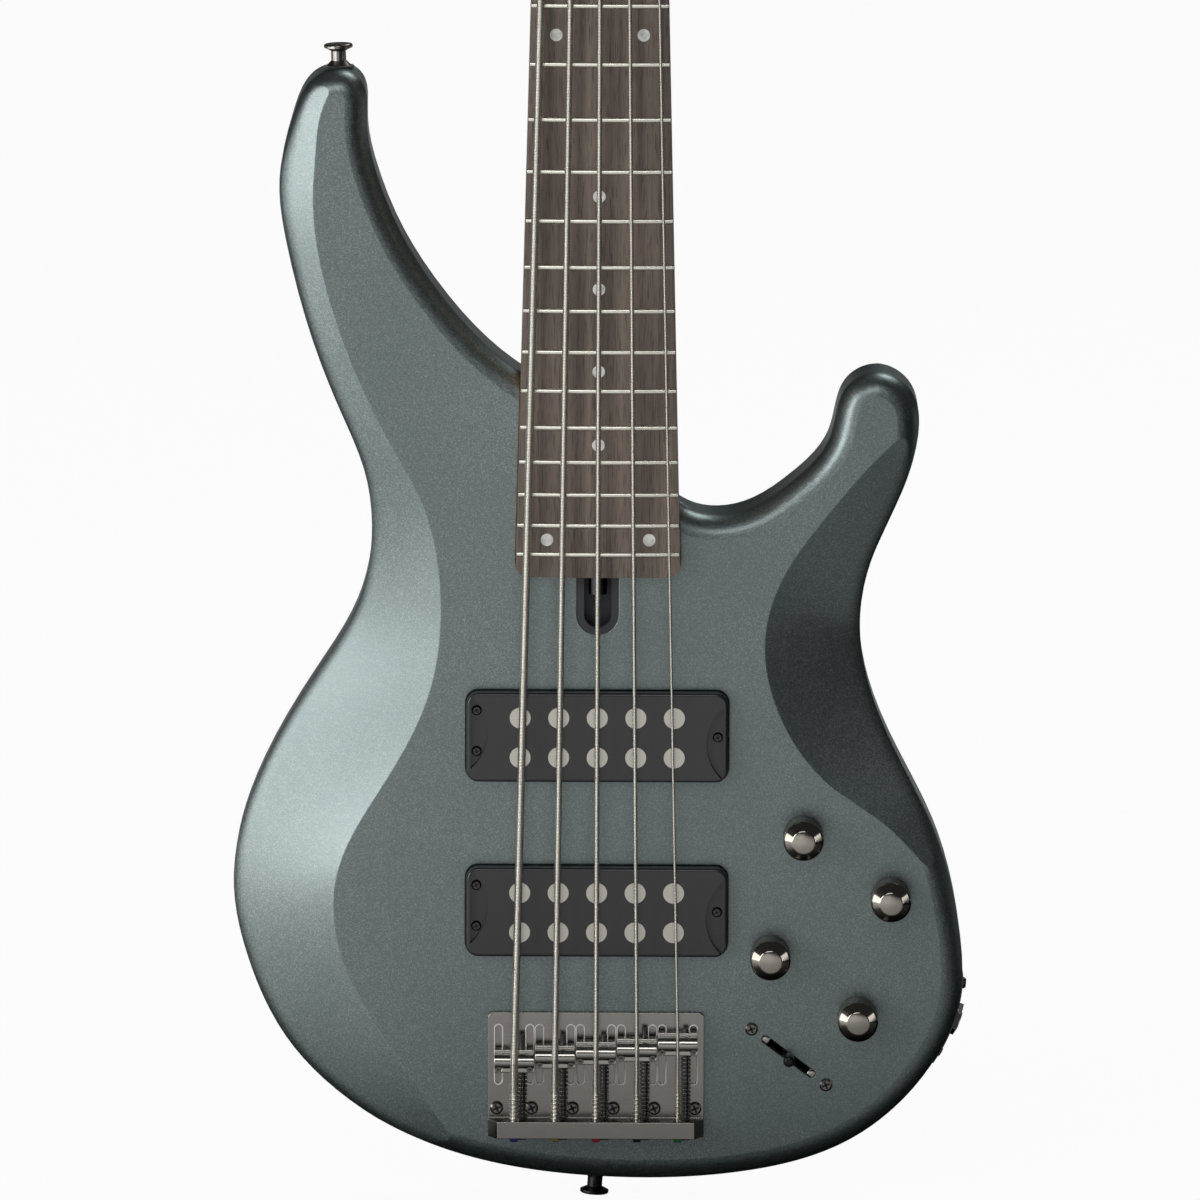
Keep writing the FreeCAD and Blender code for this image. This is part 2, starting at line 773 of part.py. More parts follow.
def deck_drill(x, y, diameter, top, bottom):
    return Part.makeCylinder(diameter / 2, top - bottom, Vector(x, y, bottom))


def make_body():
    blank = make_blank()
    tools = [carve_cutter(BASS_CREST_SHARES, -1), carve_cutter(TREBLE_CREST_SHARES, 1)]
    opening = prism(slot(S.selector_slot_length, S.selector_slot_width), -S.panel_wall - S.overrun, S.overrun)
    opening.Placement = Placement(SELECTOR, SELECTOR_TURN)
    tools.append(opening)
    for x, y in BRIDGE_SCREWS:
        tools.append(deck_drill(x, y, S.bridge_screw_shank + 2 * S.fit_gap, S.overrun, -S.bridge_screw_bite))
    floor = -S.pickup_sunk - S.foam_thickness
    for place in PICKUP_PLACES.values():
        for x, y in PICKUP_SCREWS:
            tools.append(deck_drill(x, place + y, S.pickup_screw_shank + 2 * S.fit_gap,
                                    floor + S.overrun, floor - S.pickup_screw_bite))
    for x, y in COVER_SCREWS:
        bottom = S.cover_thickness - S.body_thickness
        tools.append(deck_drill(x, y, S.small_screw_shank + 2 * S.fit_gap,
                                bottom + S.small_screw_length, bottom - S.overrun))
    for place in (HORN_SIDE, TAIL_SIDE):
        tools.append(side_drill(place, S.felt_diameter + 2 * S.fit_gap, S.felt_seat))
        tools.append(side_drill(place, S.strap_screw_shank + 2 * S.fit_gap, S.strap_screw_bite))
    tools.append(side_drill(JACK_SIDE, S.jack_pocket, S.jack_depth + S.overrun))
    tools.append(jack_strip(-S.jack_plate_sunk - S.seat_gap, S.overrun, S.loose_gap))
    for place in JACK_SCREW_SIDES:
        tools.append(side_drill(place, S.small_screw_shank + 2 * S.fit_gap, S.small_screw_length))
    keep("body", cut("body", blank, tools), DECK)


# Neck, fingerboard, frets, dots and nut

def neck_section(distance, depth):
    """The D-shaped section of the neck: flat against the fingerboard, half an ellipse behind."""
    half = board_width(distance) / 2
    ellipse = Part.Ellipse(Vector(0, -distance, 0), half, depth)
    arc = Part.Arc(ellipse, math.pi, 2 * math.pi).toShape()
    arc.rotate(Vector(0, -distance, 0), ACROSS, 90)
    flat = Part.LineSegment(Vector(half, -distance, 0), Vector(-half, -distance, 0)).toShape()
    return Part.Wire([arc, flat])


def head_outline():
    corners = [(-S.nut_width / 2, -S.nut_thickness, 0), (-S.nut_width / 2, 0, 0)]
    for across, along in HEAD_OUTLINE_SHARES:
        corners.append((across * S.head_half_width, along * S.head_length, S.head_corner))
    corners += [(S.nut_width / 2, 0, 0), (S.nut_width / 2, -S.nut_thickness, 0)]
    return outline(corners)


def make_neck():
    heel_start = BOARD_LENGTH - S.heel_length
    shaft = Part.makeLoft([neck_section(-S.nut_thickness, S.neck_depth_nut),
                           neck_section(heel_start + S.heel_length / 2, S.neck_depth_heel)], True, True)
    to_neck = Placement(Vector(0, -S.scale_length, 0), Rotation())
    heel = prism(heel_outline(0, S.heel_length), -S.heel_depth, 0)
    heel.Placement = to_neck
    heel_top = [edge for edge in heel.Edges
                if abs(edge.BoundBox.YMin + heel_start) < S.fit_gap and edge.BoundBox.ZMin < -S.fit_gap]
    heel = heel.makeFillet(S.heel_round, heel_top)
    head = prism(head_outline(), -S.head_thickness, 0)
    head.Placement = NECK.inverse().multiply(HEAD)
    over = Part.makeBox(S.nut_width * 2, S.nut_thickness * 2, S.head_thickness)
    over.translate(Vector(-S.nut_width, -S.nut_thickness, 0))
    neck = shaft.fuse([heel, head.cut(over)]).removeSplitter()
    tools = []
    for x, y in zip(POST_X, POST_Y):
        hole = deck_drill(x, y, S.bushing_diameter + 2 * S.fit_gap, S.overrun, -S.head_thickness - S.overrun)
        hole.Placement = NECK.inverse().multiply(HEAD)
        tools.append(hole)
    for x, y in TUNER_SCREWS:
        hole = deck_drill(x, y, S.small_screw_shank + 2 * S.fit_gap, -S.head_thickness + TUNER_SCREW_BITE,
                          -S.head_thickness - S.overrun)
        hole.Placement = NECK.inverse().multiply(HEAD)
        tools.append(hole)
    trench_length = BOARD_LENGTH - S.truss_head_margin
    trench_width = S.truss_diameter + 2 * S.fit_gap
    tools.append(Part.makeBox(trench_width, trench_length + S.overrun, S.truss_depth + S.overrun,
                              Vector(-trench_width / 2, -BOARD_LENGTH - S.overrun, -S.truss_depth)))
    for x, y in NECK_SCREWS:
        tools.append(deck_drill(x, y - S.scale_length, S.neck_screw_diameter + 2 * S.fit_gap,
                                S.neck_screw_grip - S.heel_depth, -S.heel_depth - S.overrun))
    keep("neck", feature("neck", neck.cut(tools)), NECK)


def make_fingerboard():
    blank = new_body("board_blank")
    half_nut = S.nut_width / 2
    half_end = S.board_end_width / 2
    pad(blank, outline([(-half_end, -BOARD_LENGTH, S.board_corner), (half_end, -BOARD_LENGTH, S.board_corner),
                        (half_nut, 0, 0), (-half_nut, 0, 0)]), "board_thickness")
    crown = doc.addObject("Part::Cylinder", "board_crown")
    bind(crown, Radius="board_radius")
    crown.Height = 2 * BOARD_LENGTH
    crown.Placement = Placement(Vector(0, BOARD_LENGTH / 2, S.board_thickness - S.board_radius),
                                Rotation(ACROSS, 90))
    cambered = doc.addObject("Part::MultiCommon", "board_cambered")
    cambered.Shapes = [blank, crown]
    tools = [deck_drill(x, y, S.dot_diameter + 2 * S.fit_gap, S.board_thickness + S.overrun,
                        S.board_thickness - S.dot_depth) for x, y in DOTS]
    tools += [rod(S.side_dot_diameter + 2 * S.fit_gap, start - ACROSS * S.overrun, end)
              for start, end in SIDE_DOTS]
    keep("fingerboard", cut("fingerboard", cambered, tools), NECK)


def fret_middle(number):
    return -(fret_place(number) + fret_place(number - 1)) / 2


DOTS = [(0, fret_middle(number)) for number in SINGLE_DOT_FRETS]
DOTS.append((-S.dot_spread / 2, fret_middle(DOUBLE_DOT_FRETS[0])))
DOTS.append((S.dot_spread / 2, fret_middle(DOUBLE_DOT_FRETS[0])))
LAST_DOT_SPREAD = S.dot_spread * board_width(BOARD_LENGTH) / board_width(fret_place(DOUBLE_DOT_FRETS[0]))
DOTS.append((-LAST_DOT_SPREAD / 2, fret_middle(DOUBLE_DOT_FRETS[1])))
DOTS.append((LAST_DOT_SPREAD / 2, fret_middle(DOUBLE_DOT_FRETS[1])))
SIDE_DOTS = []
for number in SINGLE_DOT_FRETS + DOUBLE_DOT_FRETS:
    edge_x = -board_width(-fret_middle(number)) / 2
    start = Vector(edge_x, fret_middle(number), S.board_thickness - crown_drop(edge_x) - S.side_dot_drop)
    SIDE_DOTS.append((start, start + ACROSS * S.dot_depth))


def make_frets():
    """Each fret is a bead turned about the axis of the fingerboard's camber."""
    beads = []
    axis = Vector(0, 0, S.board_thickness - S.board_radius)
    for number in range(1, FRET_COUNT + 1):
        place = fret_place(number)
        half = S.fret_width / 2
        foot = S.board_thickness
        crown = Part.Arc(Vector(0, half - place, foot), Vector(0, -place, foot + S.fret_height),
                         Vector(0, -half - place, foot))
        base = Part.LineSegment(Vector(0, -half - place, foot), Vector(0, half - place, foot))
        section = Part.Face(wire_of([crown, base]))
        reach = math.degrees(math.asin((board_width(place) / 2 - S.fret_height / 2) / S.board_radius))
        section.rotate(axis, Vector(0, 1, 0), -reach)
        beads.append(section.revolve(axis, Vector(0, 1, 0), 2 * reach))
    keep("frets", feature("frets", Part.makeCompound(beads)), NECK)


def make_dots():
    dots = []
    for x, y in DOTS:
        top = S.board_thickness - crown_drop(abs(x) + S.dot_diameter / 2)
        dots.append(deck_drill(x, y, S.dot_diameter, top, S.board_thickness - S.dot_depth))
    dots += [rod(S.side_dot_diameter, start, end) for start, end in SIDE_DOTS]
    keep("position_dots", feature("position_dots", Part.makeCompound(dots)), NECK)


def nut_slot_height(x):
    """Height of the bottom of a nut slot over the glue plane."""
    return S.board_thickness + S.fret_height + S.nut_slot_rise - crown_drop(x)


def make_nut():
    """The nut: a block with a cambered top and a slot for each string that falls towards the head."""
    top = S.board_thickness + S.nut_rise
    block = Part.makeBox(S.nut_width, S.nut_thickness, top, Vector(-S.nut_width / 2, 0, 0))
    crown = Part.makeCylinder(S.board_radius, 4 * S.nut_thickness,
                              Vector(0, -S.nut_thickness, top - S.board_radius), Vector(0, 1, 0))
    nut = block.common(crown)
    for i, gauge in enumerate(GAUGES):
        for bar in string_bars(i, 2, S.nut_thickness, gauge + 2 * S.seat_gap):
            bar.Placement = NECK.inverse().multiply(bar.Placement)
            nut = nut.cut(bar)
    keep("nut", feature("nut", nut), NECK)


def make_truss_rod():
    """The rod in its trench under the fingerboard, with a hexagon-socket nut in the access trench."""
    height = S.truss_diameter / 2 - S.truss_depth
    end = Vector(0, -BOARD_LENGTH, height)
    bar = rod(S.truss_diameter, end, Vector(0, -S.truss_head_margin - S.seat_gap, height))
    nut_end = end - Vector(0, S.truss_nut_length, 0)
    nut = rod(S.truss_nut_diameter, end, nut_end)
    key = prism([Part.LineSegment(a, b) for a, b in hexagon_sides(S.truss_key)], 0, S.truss_nut_length / 2)
    key.Placement = Placement(nut_end, Rotation(ACROSS, -90))
    keep("truss_rod", feature("truss_rod", bar.fuse(nut).cut(key)), NECK)


def hexagon_sides(across_flats):
    radius = across_flats / math.sqrt(3)
    points = [Vector(radius * math.cos(math.radians(60 * i)), radius * math.sin(math.radians(60 * i)), 0)
              for i in range(6)]
    return [(points[i - 1], points[i]) for i in range(6)]


def make_truss_access():
    liner = new_body("truss_access")
    pad(liner, access_outline(S.access_width - 2 * S.seat_gap, S.access_length - S.seat_gap,
                              BOARD_END - S.seat_gap), "access_depth", "-access_depth")
    pocket(liner, access_outline(S.access_width - 2 * S.access_wall, S.access_length - S.access_wall,
                                 BOARD_END + S.overrun), "access_depth - access_floor")
    keep("truss_access", liner, DECK)


# Screws and other repeated fasteners

def make_screw(name, head, rise, shank, length, countersunk=False):
    """A screw along its own Z, with the seat of its head at zero or, countersunk, its top there."""
    screw = new_body(name)
    if countersunk:
        corners = [(0, 0, 0), (head / 2, 0, 0), (shank / 2, -rise, 0)]
    else:
        corners = [(0, rise, 0), (head * 0.36, rise, 0), (head / 2, rise / 2, 0), (head / 2, 0, 0),
                   (shank / 2, 0, 0)]
    corners += [(shank / 2, shank - length, 0), (0, -length, 0)]
    return revolve(screw, corners)


def make_neck_screws():
    ferrule = new_body("ferrule")
    revolve(ferrule, [
        (S.neck_screw_diameter / 2 + S.seat_gap, 0, 0), (S.ferrule_diameter / 2, 0, 0),
        (S.ferrule_diameter / 2, S.ferrule_depth, 0),
        (NECK_SCREW_HEAD / 2 + S.fit_gap, S.ferrule_depth, 0),
        (S.neck_screw_diameter / 2 + S.seat_gap, S.ferrule_depth - NECK_SCREW_CONE, 0),
    ])
    places = [at(DECK, x, y, S.ferrule_depth - S.body_thickness, FACE_BACK) for x, y in NECK_SCREWS]
    copies("neck_ferrules", ferrule, places)
    length = S.body_thickness + S.deck_drop - S.heel_depth + S.neck_screw_grip
    screw = make_screw("neck_screw", NECK_SCREW_HEAD, NECK_SCREW_CONE, S.neck_screw_diameter,
                       length, countersunk=True)
    places = [at(DECK, x, y, -S.body_thickness, FACE_BACK) for x, y in NECK_SCREWS]
    copies("neck_screws", screw, places)


JACK_FACE = S.jack_plate_thickness - S.jack_plate_sunk
JACK_SEAT = JACK_FACE + S.loose_gap
NECK_SCREW_HEAD = 2 * S.neck_screw_diameter
NECK_SCREW_CONE = S.neck_screw_diameter / 2 + S.fit_gap
TUNER_SCREWS = [(x, y - S.housing_ear) for x, y in zip(POST_X, POST_Y)]
TUNER_EAR = S.housing_height / 4
TUNER_SCREW_BITE = S.small_screw_length - TUNER_EAR


def make_small_screws():
    screw = make_screw("small_screw", S.small_screw_head, S.small_screw_rise, S.small_screw_shank,
                       S.small_screw_length)
    places = [at(DECK, x, y, -S.body_thickness, FACE_BACK) for x, y in COVER_SCREWS]
    places += [at(DECK.multiply(place), 0, 0, JACK_SEAT) for place in JACK_SCREW_SIDES]
    places += [at(HEAD, x, y, -S.head_thickness - TUNER_EAR, FACE_BACK) for x, y in TUNER_SCREWS]
    copies("small_screws", screw, places)


# Pickups

def thumb_outline(side):
    """The sunk crescent at one end of a pickup cover, where its screws are."""
    edge = side * (S.pickup_length / 2 - S.thumb_margin)
    inner = edge - side * S.thumb_reach
    middle = inner + side * S.thumb_radius
    shift = -side * S.thumb_shift
    half = math.sqrt(S.thumb_radius ** 2 - (edge - middle) ** 2)
    low = Vector(edge, shift - half, 0)
    high = Vector(edge, shift + half, 0)
    return [Part.Arc(low, Vector(inner, shift, 0), high), Part.LineSegment(high, low)]


POLES = [((i - 2) * S.pole_gap, row * S.pole_row_gap / 2) for i in range(5) for row in (-1, 1)]


def make_pickup(name, place):
    cover = new_body(name)
    pad(cover, rectangle(S.pickup_length, S.pickup_width, S.pickup_corner), "pickup_rise + pickup_sunk",
        "-pickup_sunk")
    soften(cover, "pickup_edge", on_edge(S.pickup_rise))
    pocket(cover, thumb_outline(-1) + thumb_outline(1), "thumb_depth", "pickup_rise")
    poles = []
    for x, y in POLES:
        poles += ring(S.pole_diameter + 2 * S.fit_gap, x, y)
    pocket(cover, poles, "pole_length - pole_rise", "pickup_rise")
    screws = []
    for x, y in PICKUP_SCREWS:
        screws += ring(S.pickup_screw_shank + 2 * S.seat_gap, x, y)
    pocket(cover, screws, "pickup_rise + pickup_sunk + overrun", "pickup_rise")
    keep(name, cover, at(DECK, 0, place, 0))
    pole = doc.addObject("Part::Cylinder", name + "_pole")
    bind(pole, Radius="pole_diameter / 2", Height="pole_length")
    low = S.pickup_rise + S.pole_rise - S.pole_length
    copies(name + "_poles", pole, [at(DECK, x, place + y, low) for x, y in POLES])


def make_pickups():
    for name, place in PICKUP_PLACES.items():
        make_pickup(name, place)
    foam = new_body("pickup_foam")
    pad(foam, rectangle(S.pickup_length, S.pickup_width, S.pickup_corner), "foam_thickness")
    holes = []
    for x, y in PICKUP_SCREWS:
        holes += ring(S.pickup_screw_shank + 2 * S.loose_gap, x, y)
    pocket(foam, holes, "foam_thickness", "foam_thickness")
    floor = -S.pickup_sunk - S.foam_thickness
    copies("pickup_foams", foam, [at(DECK, 0, place, floor) for place in PICKUP_PLACES.values()])
    seat = S.pickup_rise - S.thumb_depth
    screw = make_screw("pickup_screw", S.pickup_screw_head, S.thumb_depth / 2, S.pickup_screw_shank,
                       seat - floor + S.pickup_screw_bite)
    places = [at(DECK, x, place + y, seat) for place in PICKUP_PLACES.values() for x, y in PICKUP_SCREWS]
    copies("pickup_screws", screw, places)


# Bridge, saddles, screws, springs and ball ends

BRIDGE_TAIL = S.bridge_length - S.bridge_lead
WALL_FRONT = S.bridge_wall - BRIDGE_TAIL
LENGTH_SCREW_X = [x + S.length_screw_side for x in SADDLE_X]


def make_bridge_plate():
    bridge = new_body("bridge_blank")
    middle = S.bridge_lead - S.bridge_length / 2
    pad(bridge, rectangle(S.bridge_width, S.bridge_length, S.bridge_corner, 0, middle), "bridge_plate")
    half = S.bridge_width / 2
    low = half - S.bridge_wall_chamfer
    pad(bridge, outline([(-half, 0, 0), (half, 0, 0), (half, S.bridge_wall_height / 2, 0),
                         (low, S.bridge_wall_height, 0), (-low, S.bridge_wall_height, 0),
                         (-half, S.bridge_wall_height / 2, 0)]),
        "bridge_wall", "bridge_length - bridge_lead - bridge_wall", "XZ_Plane")
    grooves = []
    for x in SADDLE_X:
        for side in (-1, 1):
            grooves += slot(S.groove_length, S.groove_width, x + side * S.height_screw_spread / 2,
                            S.groove_lead - S.groove_length / 2, upright=True)
    pocket(bridge, grooves, "groove_depth", "bridge_plate")
    holes = []
    for x, y in BRIDGE_SCREWS:
        holes += ring(S.bridge_screw_shank + 2 * S.seat_gap, x, y)
    pocket(bridge, holes, "bridge_plate", "bridge_plate")
    through = []
    for x in LENGTH_SCREW_X:
        through += ring(S.length_screw_diameter + 2 * S.seat_gap, x, S.length_screw_height)
    pocket(bridge, through, "bridge_wall + overrun", "bridge_length - bridge_lead", "XZ_Plane")
    string_holes = []
    for i in range(5):
        end, saddle = string_corners(i)[:2]
        run = (saddle - end).normalize()
        hole = rod(S.string_hole, end - run * S.overrun, end + run * (S.bridge_wall + S.overrun))
        hole.Placement = DECK.inverse().multiply(hole.Placement)
        string_holes.append(hole)
        back = Vector(SADDLE_X[i], -BRIDGE_TAIL, S.string_hole_height)
        string_holes.append(rod(S.ball_diameter + 3 * S.loose_gap, back - Vector(0, S.overrun, 0),
                                back + Vector(0, S.ball_sunk, 0)))
    keep("bridge_plate", cut("bridge_plate", bridge, string_holes), DECK)
    screw = make_screw("bridge_screw", S.bridge_screw_head, S.bridge_screw_rise, S.bridge_screw_shank,
                       S.bridge_plate + S.bridge_screw_bite)
    copies("bridge_screws", screw, [at(DECK, x, y, S.bridge_plate) for x, y in BRIDGE_SCREWS])


def make_saddle(i):
    """One saddle: a block with a raised bar that carries the string, at its own height."""
    bar = S.saddle_bar / 2
    low = SADDLE_TOPS[i] - S.saddle_height
    top = SADDLE_TOPS[i] + S.saddle_notch
    block = low + S.saddle_block
    profile = outline([
        (-S.saddle_back, low, 0), (S.saddle_front, low, 0), (S.saddle_front, block, 0.6 * S.saddle_notch),
        (bar, block, 0), (bar, top, 0.95 * bar), (-bar, top, 0.95 * bar), (-bar, block, 0),
        (-S.saddle_back, block, 0.6 * S.saddle_notch),
    ])
    saddle = prism(profile, -S.saddle_width / 2, S.saddle_width / 2)
    saddle.Placement = Placement(Vector(), Rotation(Vector(0, 1, 0), Vector(0, 0, 1), ACROSS, "ZXY"))
    tools = []
    for side in (-1, 1):
        x = side * S.height_screw_spread / 2
        tools.append(deck_drill(x, HEIGHT_SCREW_Y, S.height_screw_diameter + 2 * S.fit_gap, top, 0))
    tools.append(rod(S.length_screw_diameter + 2 * S.fit_gap,
                     Vector(S.length_screw_side, -2 * S.saddle_back, S.length_screw_height),
                     Vector(S.length_screw_side, 2 * S.saddle_front, S.length_screw_height)))
    saddle = saddle.cut(tools)
    saddle.translate(Vector(SADDLE_X[i], -SETBACKS[i], 0))
    for groove in string_bars(i, 1, S.saddle_back, GAUGES[i] + 2 * S.fit_gap):
        groove.Placement = DECK.inverse().multiply(groove.Placement)
        saddle = saddle.cut(groove)
    return saddle


HEIGHT_SCREW_Y = -S.saddle_back + S.height_screw_diameter / 2 + S.height_screw_diameter / 6


def make_saddles():
    keep("saddles", feature("saddles", Part.makeCompound([make_saddle(i) for i in range(5)])), DECK)
    foot = S.bridge_plate - S.groove_depth
    screws = []
    for i in range(5):
        top = SADDLE_TOPS[i] - S.saddle_height + S.saddle_block
        socket = prism([Part.LineSegment(a, b) for a, b in hexagon_sides(S.height_screw_socket)],
                       top - S.height_screw_socket, top + S.overrun)
        for side in (-1, 1):
            x = SADDLE_X[i] + side * S.height_screw_spread / 2
            y = HEIGHT_SCREW_Y - SETBACKS[i]
            grub = deck_drill(x, y, S.height_screw_diameter, top, foot)
            hollow = socket.copy()
            hollow.translate(Vector(x, y, 0))
            screws.append(grub.cut(hollow))
    keep("saddle_height_screws", feature("saddle_height_screws", Part.makeCompound(screws)), DECK)


def make_length_screws():
    """Each screw holds its saddle from behind the wall and sticks out in front of it."""
    screws = []
    for x, reach in zip(LENGTH_SCREW_X, [S.low_screw_tip] * 3 + [S.high_screw_tip] * 2):
        tail = Vector(x, -BRIDGE_TAIL, S.length_screw_height)
        tip = Vector(x, reach, S.length_screw_height)
        head = tail - Vector(0, S.length_screw_head_rise, 0)
        screws.append(rod(S.length_screw_diameter, head, tip).fuse(rod(S.length_screw_head, head, tail)))
    keep("intonation_screws", feature("intonation_screws", Part.makeCompound(screws)), DECK)


def arc_edge(start, corner, end):
    """The arc that leaves a start towards a corner and reaches the end from it."""
    middle = (start + end) * 0.5
    rise = corner - middle
    tangent = (corner - start).Length
    if rise.Length < S.fit_gap * S.fit_gap:
        return Part.LineSegment(start, end).toShape()
    sine = rise.Length / tangent
    cosine = math.sqrt(1 - sine * sine)
    crown = tangent * cosine * (1 - cosine) / sine
    return Part.Arc(start, middle + rise.normalize() * crown, end).toShape()


def biarcs(points, tangents):
    """Two tangent arcs from each point to the next."""
    edges = []
    for p, q, leaving, reaching in zip(points, points[1:], tangents, tangents[1:]):
        gap = q - p
        both = leaving + reaching
        spread = 2 * (1 - leaving.dot(reaching))
        along = gap.dot(both)
        reach = (math.sqrt(along * along + spread * gap.dot(gap)) - along) / spread
        first = p + leaving * reach
        second = q - reaching * reach
        joint = (first + second) * 0.5
        edges.append(arc_edge(p, first, joint))
        edges.append(arc_edge(joint, second, q))
    return edges


def tube(edges, diameter, sides=0):
    """A wire along a path, round or many-sided, its volume checked against section times length."""
    path = Part.Wire(edges)
    start = edges[0].valueAt(edges[0].FirstParameter)
    heading = edges[0].tangentAt(edges[0].FirstParameter)
    if sides:
        turns = [2 * math.pi * k / sides for k in range(sides + 1)]
        radius = diameter / 2
        section = Part.makePolygon([Vector(math.cos(turn), math.sin(turn), 0) * radius for turn in turns])
    else:
        section = Part.Wire(Part.Circle(Vector(), Vector(0, 0, 1), diameter / 2).toShape())
    section.Placement = Placement(start, Rotation(Vector(0, 0, 1), heading))
    area = Part.Face(section).Area
    solid = path.makePipeShell([section], True, False)
    expected = path.Length * area
    if abs(solid.Volume / expected - 1) > 0.02:
        raise RuntimeError("a tube has %.4f of its volume" % (solid.Volume / expected))
    return solid


def least_gap(edges, diameter, half_turn):
    """The least gap between stretches of a wound wire that lie over half a turn apart."""
    path = Part.Wire(edges)
    points = path.discretize(Distance=diameter)
    step = path.Length / len(points)
    skip = int(half_turn / step) + 1
    return min((points[i] - points[j]).Length for i in range(len(points))
               for j in range(i + skip, len(points))) - diameter


def make_springs():
    springs = []
    gaps = []
    radius = (S.spring_diameter - S.spring_wire) / 2
    for i in range(5):
        start = WALL_FRONT + S.spring_wire / 2 + S.seat_gap
        end = -SETBACKS[i] - S.saddle_back - S.spring_wire / 2 - S.seat_gap
        turns = round((end - start) / S.spring_pitch)
        points = []
        tangents = []
        for half in range(2 * turns + 1):
            angle = math.pi * half
            points.append(Vector(LENGTH_SCREW_X[i] + radius * math.cos(angle), start + (end - start) * half
                                 / (2 * turns), S.length_screw_height + radius * math.sin(angle)))
            tangents.append(Vector(-math.sin(angle) * radius, (end - start) / (2 * math.pi * turns),
                                   math.cos(angle) * radius).normalize())
        edges = biarcs(points, tangents)
        gaps.append(least_gap(edges, S.spring_wire, math.pi * radius))
        springs.append(tube(edges, S.spring_wire, sides=6))
    print("least gap within a spring %.2f mm" % min(gaps))
    keep("intonation_springs", feature("intonation_springs", Part.makeCompound(springs)), DECK)


def make_ball_ends():
    ball = new_body("ball_end")
    half = S.ball_length / 2
    full = S.ball_diameter / 2
    revolve(ball, [(0, -half, 0), (full * 0.75, -half, 0), (full, -half * 0.75, 0), (full, half * 0.75, 0),
                   (full * 0.75, half, 0), (0, half, 0)])
    lying = Rotation(Vector(0, 1, 0), 90)
    copies("ball_ends", ball, [at(DECK, x, S.ball_sunk - BRIDGE_TAIL - S.ball_diameter / 2 - S.fit_gap,
                                  S.string_hole_height, lying) for x in SADDLE_X])


# Strings

def string_corners(i):
    """Where a string starts behind the bridge, bends over its saddle and the nut, and meets its post."""
    gauge = GAUGES[i]
    end = DECK.multVec(Vector(SADDLE_X[i], S.ball_sunk - BRIDGE_TAIL, S.string_hole_height))
    saddle = DECK.multVec(Vector(SADDLE_X[i], -SETBACKS[i], SADDLE_TOPS[i] + gauge / 2))
    nut = NECK.multVec(Vector(NUT_X[i], S.nut_thickness / 2, nut_slot_height(NUT_X[i]) + gauge / 2))
    # The string touches its post on the side towards the centre line
    flat = HEAD.inverse().multVec(nut)
    away = Vector(POST_X[i] - flat.x, POST_Y[i] - flat.y, 0)
    bearing = math.atan2(away.y, away.x) + POST_SIDES[i] * math.asin(WIND_RADII[i] / away.Length)
    reach = math.sqrt(away.Length ** 2 - WIND_RADII[i] ** 2)
    touch = Vector(flat.x + reach * math.cos(bearing), flat.y + reach * math.sin(bearing), S.winding_height)
    return [end, saddle, nut, HEAD.multVec(touch)]


def string_bars(i, bend, length, diameter):
    """Two bars that follow a string away from one of its bends, to cut the groove that it lies in."""
    corners = string_corners(i)
    bars = []
    for other in (bend - 1, bend + 1):
        run = (corners[other] - corners[bend]).normalize()
        bars.append(rod(diameter, corners[bend] - run * (diameter / 2), corners[bend] + run * length))
    return bars


def string_route(i):
    """A string from the back of the bridge over its saddle and the nut, then two turns round its post."""
    gauge = GAUGES[i]
    radius = WIND_RADII[i]
    side = POST_SIDES[i]
    corners = string_corners(i)
    end, saddle, nut, first = corners
    touch = HEAD.inverse().multVec(first)
    start_angle = math.atan2(touch.y - POST_Y[i], touch.x - POST_X[i])
    edges = []
    here = end
    for k in (1, 2):
        back = (corners[k - 1] - corners[k]).normalize()
        ahead = (corners[k + 1] - corners[k]).normalize()
        reach = S.string_bend / math.tan(back.getAngle(ahead) / 2)
        bend_start = corners[k] + back * reach
        bend_end = corners[k] + ahead * reach
        edges.append(Part.LineSegment(here, bend_start).toShape())
        edges.append(arc_edge(bend_start, corners[k], bend_end))
        here = bend_end
    edges.append(Part.LineSegment(here, first).toShape())
    pitch = gauge + S.winding_gap
    points = [first]
    tangents = [(first - nut).normalize()]
    quarters = 8
    for quarter in range(1, quarters + 1):
        turned = -side * quarter * math.pi / 2
        angle = start_angle + turned
        points.append(HEAD.multVec(Vector(POST_X[i] + radius * math.cos(angle),
                                          POST_Y[i] + radius * math.sin(angle),
                                          S.winding_height + pitch * quarter / 4)))
        tangents.append(HEAD.Rotation.multVec(Vector(side * math.sin(angle) * radius,
                                                     -side * math.cos(angle) * radius,
                                                     pitch / (2 * math.pi))).normalize())
    winding = biarcs(points, tangents)
    tail = Part.LineSegment(points[-1], points[-1] + tangents[-1] * gauge).toShape()
    return edges + winding + [tail], winding


def make_strings():
    strings = []
    gaps = []
    for i in range(5):
        edges, winding = string_route(i)
        strings.append(tube(edges, GAUGES[i]))
        gaps.append(least_gap(winding, GAUGES[i], math.pi * WIND_RADII[i]))
    print("least gap within a winding %.2f mm" % min(gaps))
    keep("strings", feature("strings", Part.makeCompound(strings)))


# Tuning machines

